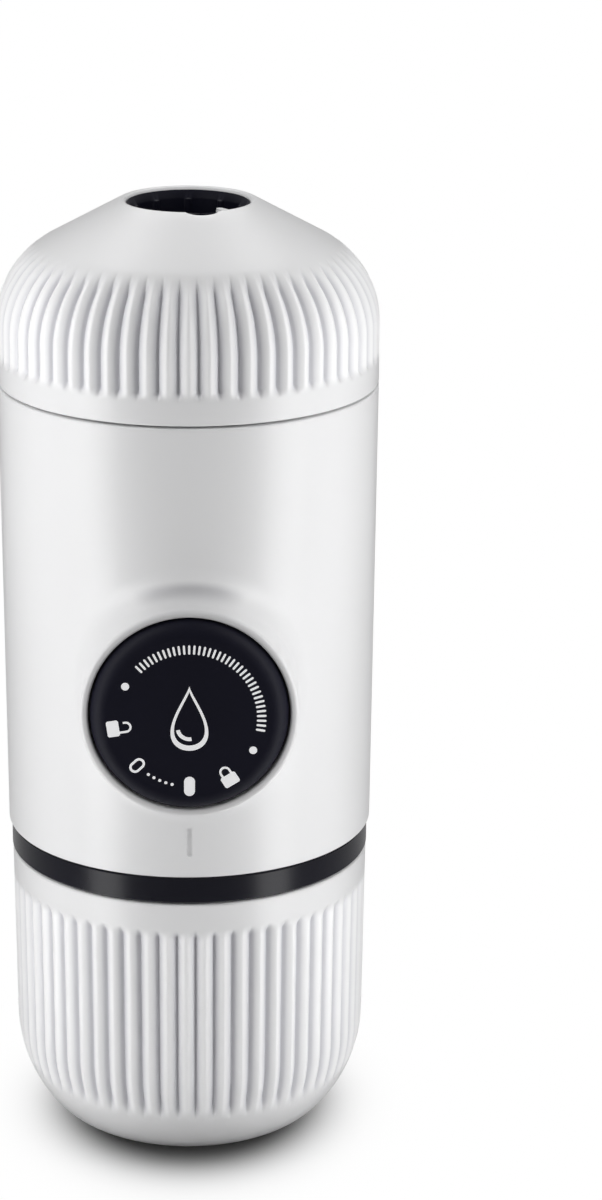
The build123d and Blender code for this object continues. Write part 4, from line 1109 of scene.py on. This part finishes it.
# ---- studio
@dataclass(frozen=True)
class Softbox:
    """One area lamp that looks at the maker's axis; lengths in millimetres and angles in degrees."""

    name: str
    azimuth: float
    distance: float
    level: float
    width: float
    height: float
    brightness: float
    aim_level: float = 80.0

    def build(self) -> None:
        """Place the lamp."""
        spot = Vector(round_axis(self.distance, math.radians(self.azimuth), self.level)) * MM
        data = bpy.data.lights.new(self.name, "AREA")
        data.shape = "RECTANGLE"
        data.size, data.size_y = self.width * MM, self.height * MM
        data.energy = self.brightness * math.pi * data.size * data.size_y
        lamp = add_object(self.name, data)
        aim = Vector((0, 0, self.aim_level * MM)) - spot
        lamp.rotation_euler = aim.to_track_quat("-Z", "Y").to_euler()
        lamp.location = spot
        lamp.visible_camera = False


@dataclass
class Studio:
    """Floor, world, lamps and camera."""

    floor_radius: float = 1500.0
    floor_steps: int = 96
    floor_shade: float = 0.9
    floor_roughness: float = 0.6
    floor_ior: float = 1.3
    # Painted contact shadow: near the foot the floor's colour falls to this shade, in an oval that the next
    # four sizes give.
    contact_shade: float = 0.2
    shadow_start: float = 20.8
    shadow_width: float = 11.4
    shadow_power: float = 2.1
    shadow_narrowing: float = 1.25
    camera_right: float = 0.165
    camera_back: float = 560.0
    camera_height: float = 270.5
    camera_pitch: float = 17.84
    camera_yaw: float = 1.87
    camera_roll: float = 0.44
    camera_clip: float = 10.0
    lens: float = 107.0
    sensor_width: float = 36.0
    ambient: float = 0.25
    boxes: tuple[Softbox, ...] = (
        Softbox("low_left", -45, 75, 45, 25, 90, 2.8, 45),
        Softbox("low_right", 45, 75, 45, 25, 90, 2.8, 45),
        Softbox("strip_left", -49, 75, 130, 29, 80, 2.8, 130),
        Softbox("strip_right", 48, 75, 130, 29, 80, 2.85, 130),
        Softbox("upper_left", -48, 78, 205, 29, 70, 2.7, 190),
        Softbox("upper_right", 48, 78, 205, 29, 70, 1.6, 190),
        Softbox("high_left", -95, 110, 250, 80, 140, 0.5, 150),
        Softbox("high_right", 95, 110, 250, 80, 140, 0.7, 150),
        Softbox("back_left", -135, 300, 150, 160, 360, 0.25),
        Softbox("back_right", 135, 300, 150, 160, 360, 0.25),
        Softbox("top_back", 180, 160, 380, 240, 160, 2.9, 150),
    )

    def floor(self) -> Piece:
        """Large round pale floor with a painted contact shadow over the lamps' own, and white to the camera
        beyond it.
        """
        rim = [(x, y, 0.0) for x, y in arc((0.0, 0.0), self.floor_radius, 0, 360, self.floor_steps)[:-1]]
        piece = new_object("studio_floor", rim, [tuple(range(len(rim)))], smooth=False)
        paint = Paint(bpy.data.materials.new("pale_floor"))
        near = paint.place((self.shadow_narrowing, 1, 1))
        spread = paint.node("ShaderNodeVectorMath", {"operation": "LENGTH"}, {0: near}, "Value")
        away = (spread - self.shadow_start * MM).at_least(0.0) * (1 / (self.shadow_width * MM))
        # Painted shadow: the floor darkens to contact_shade towards the foot, and the camera's white fades
        # there too.
        clear = 1.0 - math.e ** (away ** self.shadow_power * -1.0)
        pale = paint.blend(clear, (self.contact_shade,) * 3, (self.floor_shade,) * 3)
        lit = paint.glaze({"Base Color": pale, "Roughness": self.floor_roughness, "IOR": self.floor_ior})
        white = paint.node("ShaderNodeEmission", sockets={"Color": WHITE, "Strength": 1.0})
        share = paint.camera_sight() * clear
        piece.data.materials.append(paint.close(paint.mix(share, lit, white)))
        return piece

    def world(self) -> None:
        """Even dim light from all round, which the camera sees as white."""
        world = bpy.data.worlds.new("pale_world")
        bpy.context.scene.world = world
        paint = Paint(world)
        dim, white = (paint.node("ShaderNodeBackground", sockets={"Color": WHITE, "Strength": power})
                      for power in (self.ambient, 1.0))
        paint.close(paint.mix(paint.camera_sight(), dim, white))

    def camera(self) -> None:
        """Camera at the viewing angle."""
        data = bpy.data.cameras.new("studio_camera")
        data.lens = self.lens
        data.sensor_width = self.sensor_width
        data.clip_start = self.camera_clip * MM
        camera = add_object("studio_camera", data)
        place = Matrix.Translation(Vector((self.camera_right, -self.camera_back, self.camera_height)) * MM)
        turns = ((-self.camera_yaw, "Z"), (90 - self.camera_pitch, "X"), (self.camera_roll, "Z"))
        for degrees, axis in turns:
            place = place @ Matrix.Rotation(math.radians(degrees), 4, axis)
        camera.matrix_world = place
        bpy.context.scene.camera = camera

    def build(self) -> None:
        """Set the stage."""
        self.floor()
        self.world()
        for box in self.boxes:
            box.build()
        self.camera()
        bpy.context.scene.view_settings.view_transform = "Standard"


def main() -> None:
    """Build every sub-assembly in order and report its pieces."""
    logging.basicConfig(level=logging.INFO, format="%(name)s: %(message)s")
    array = RoundArray()
    pieces = CarriedPieces().dress()
    log.info("dressed %d carried pieces", len(pieces))
    for assembly in (RibbedCup(array), Body(), RibbedDome(array), PushButton(array)):
        for piece in assembly.build():
            log.info("%s: %s, %d faces", type(assembly).__name__, piece.name, len(piece.data.polygons))
    Studio().build()


if __name__ == "__main__":
    main()
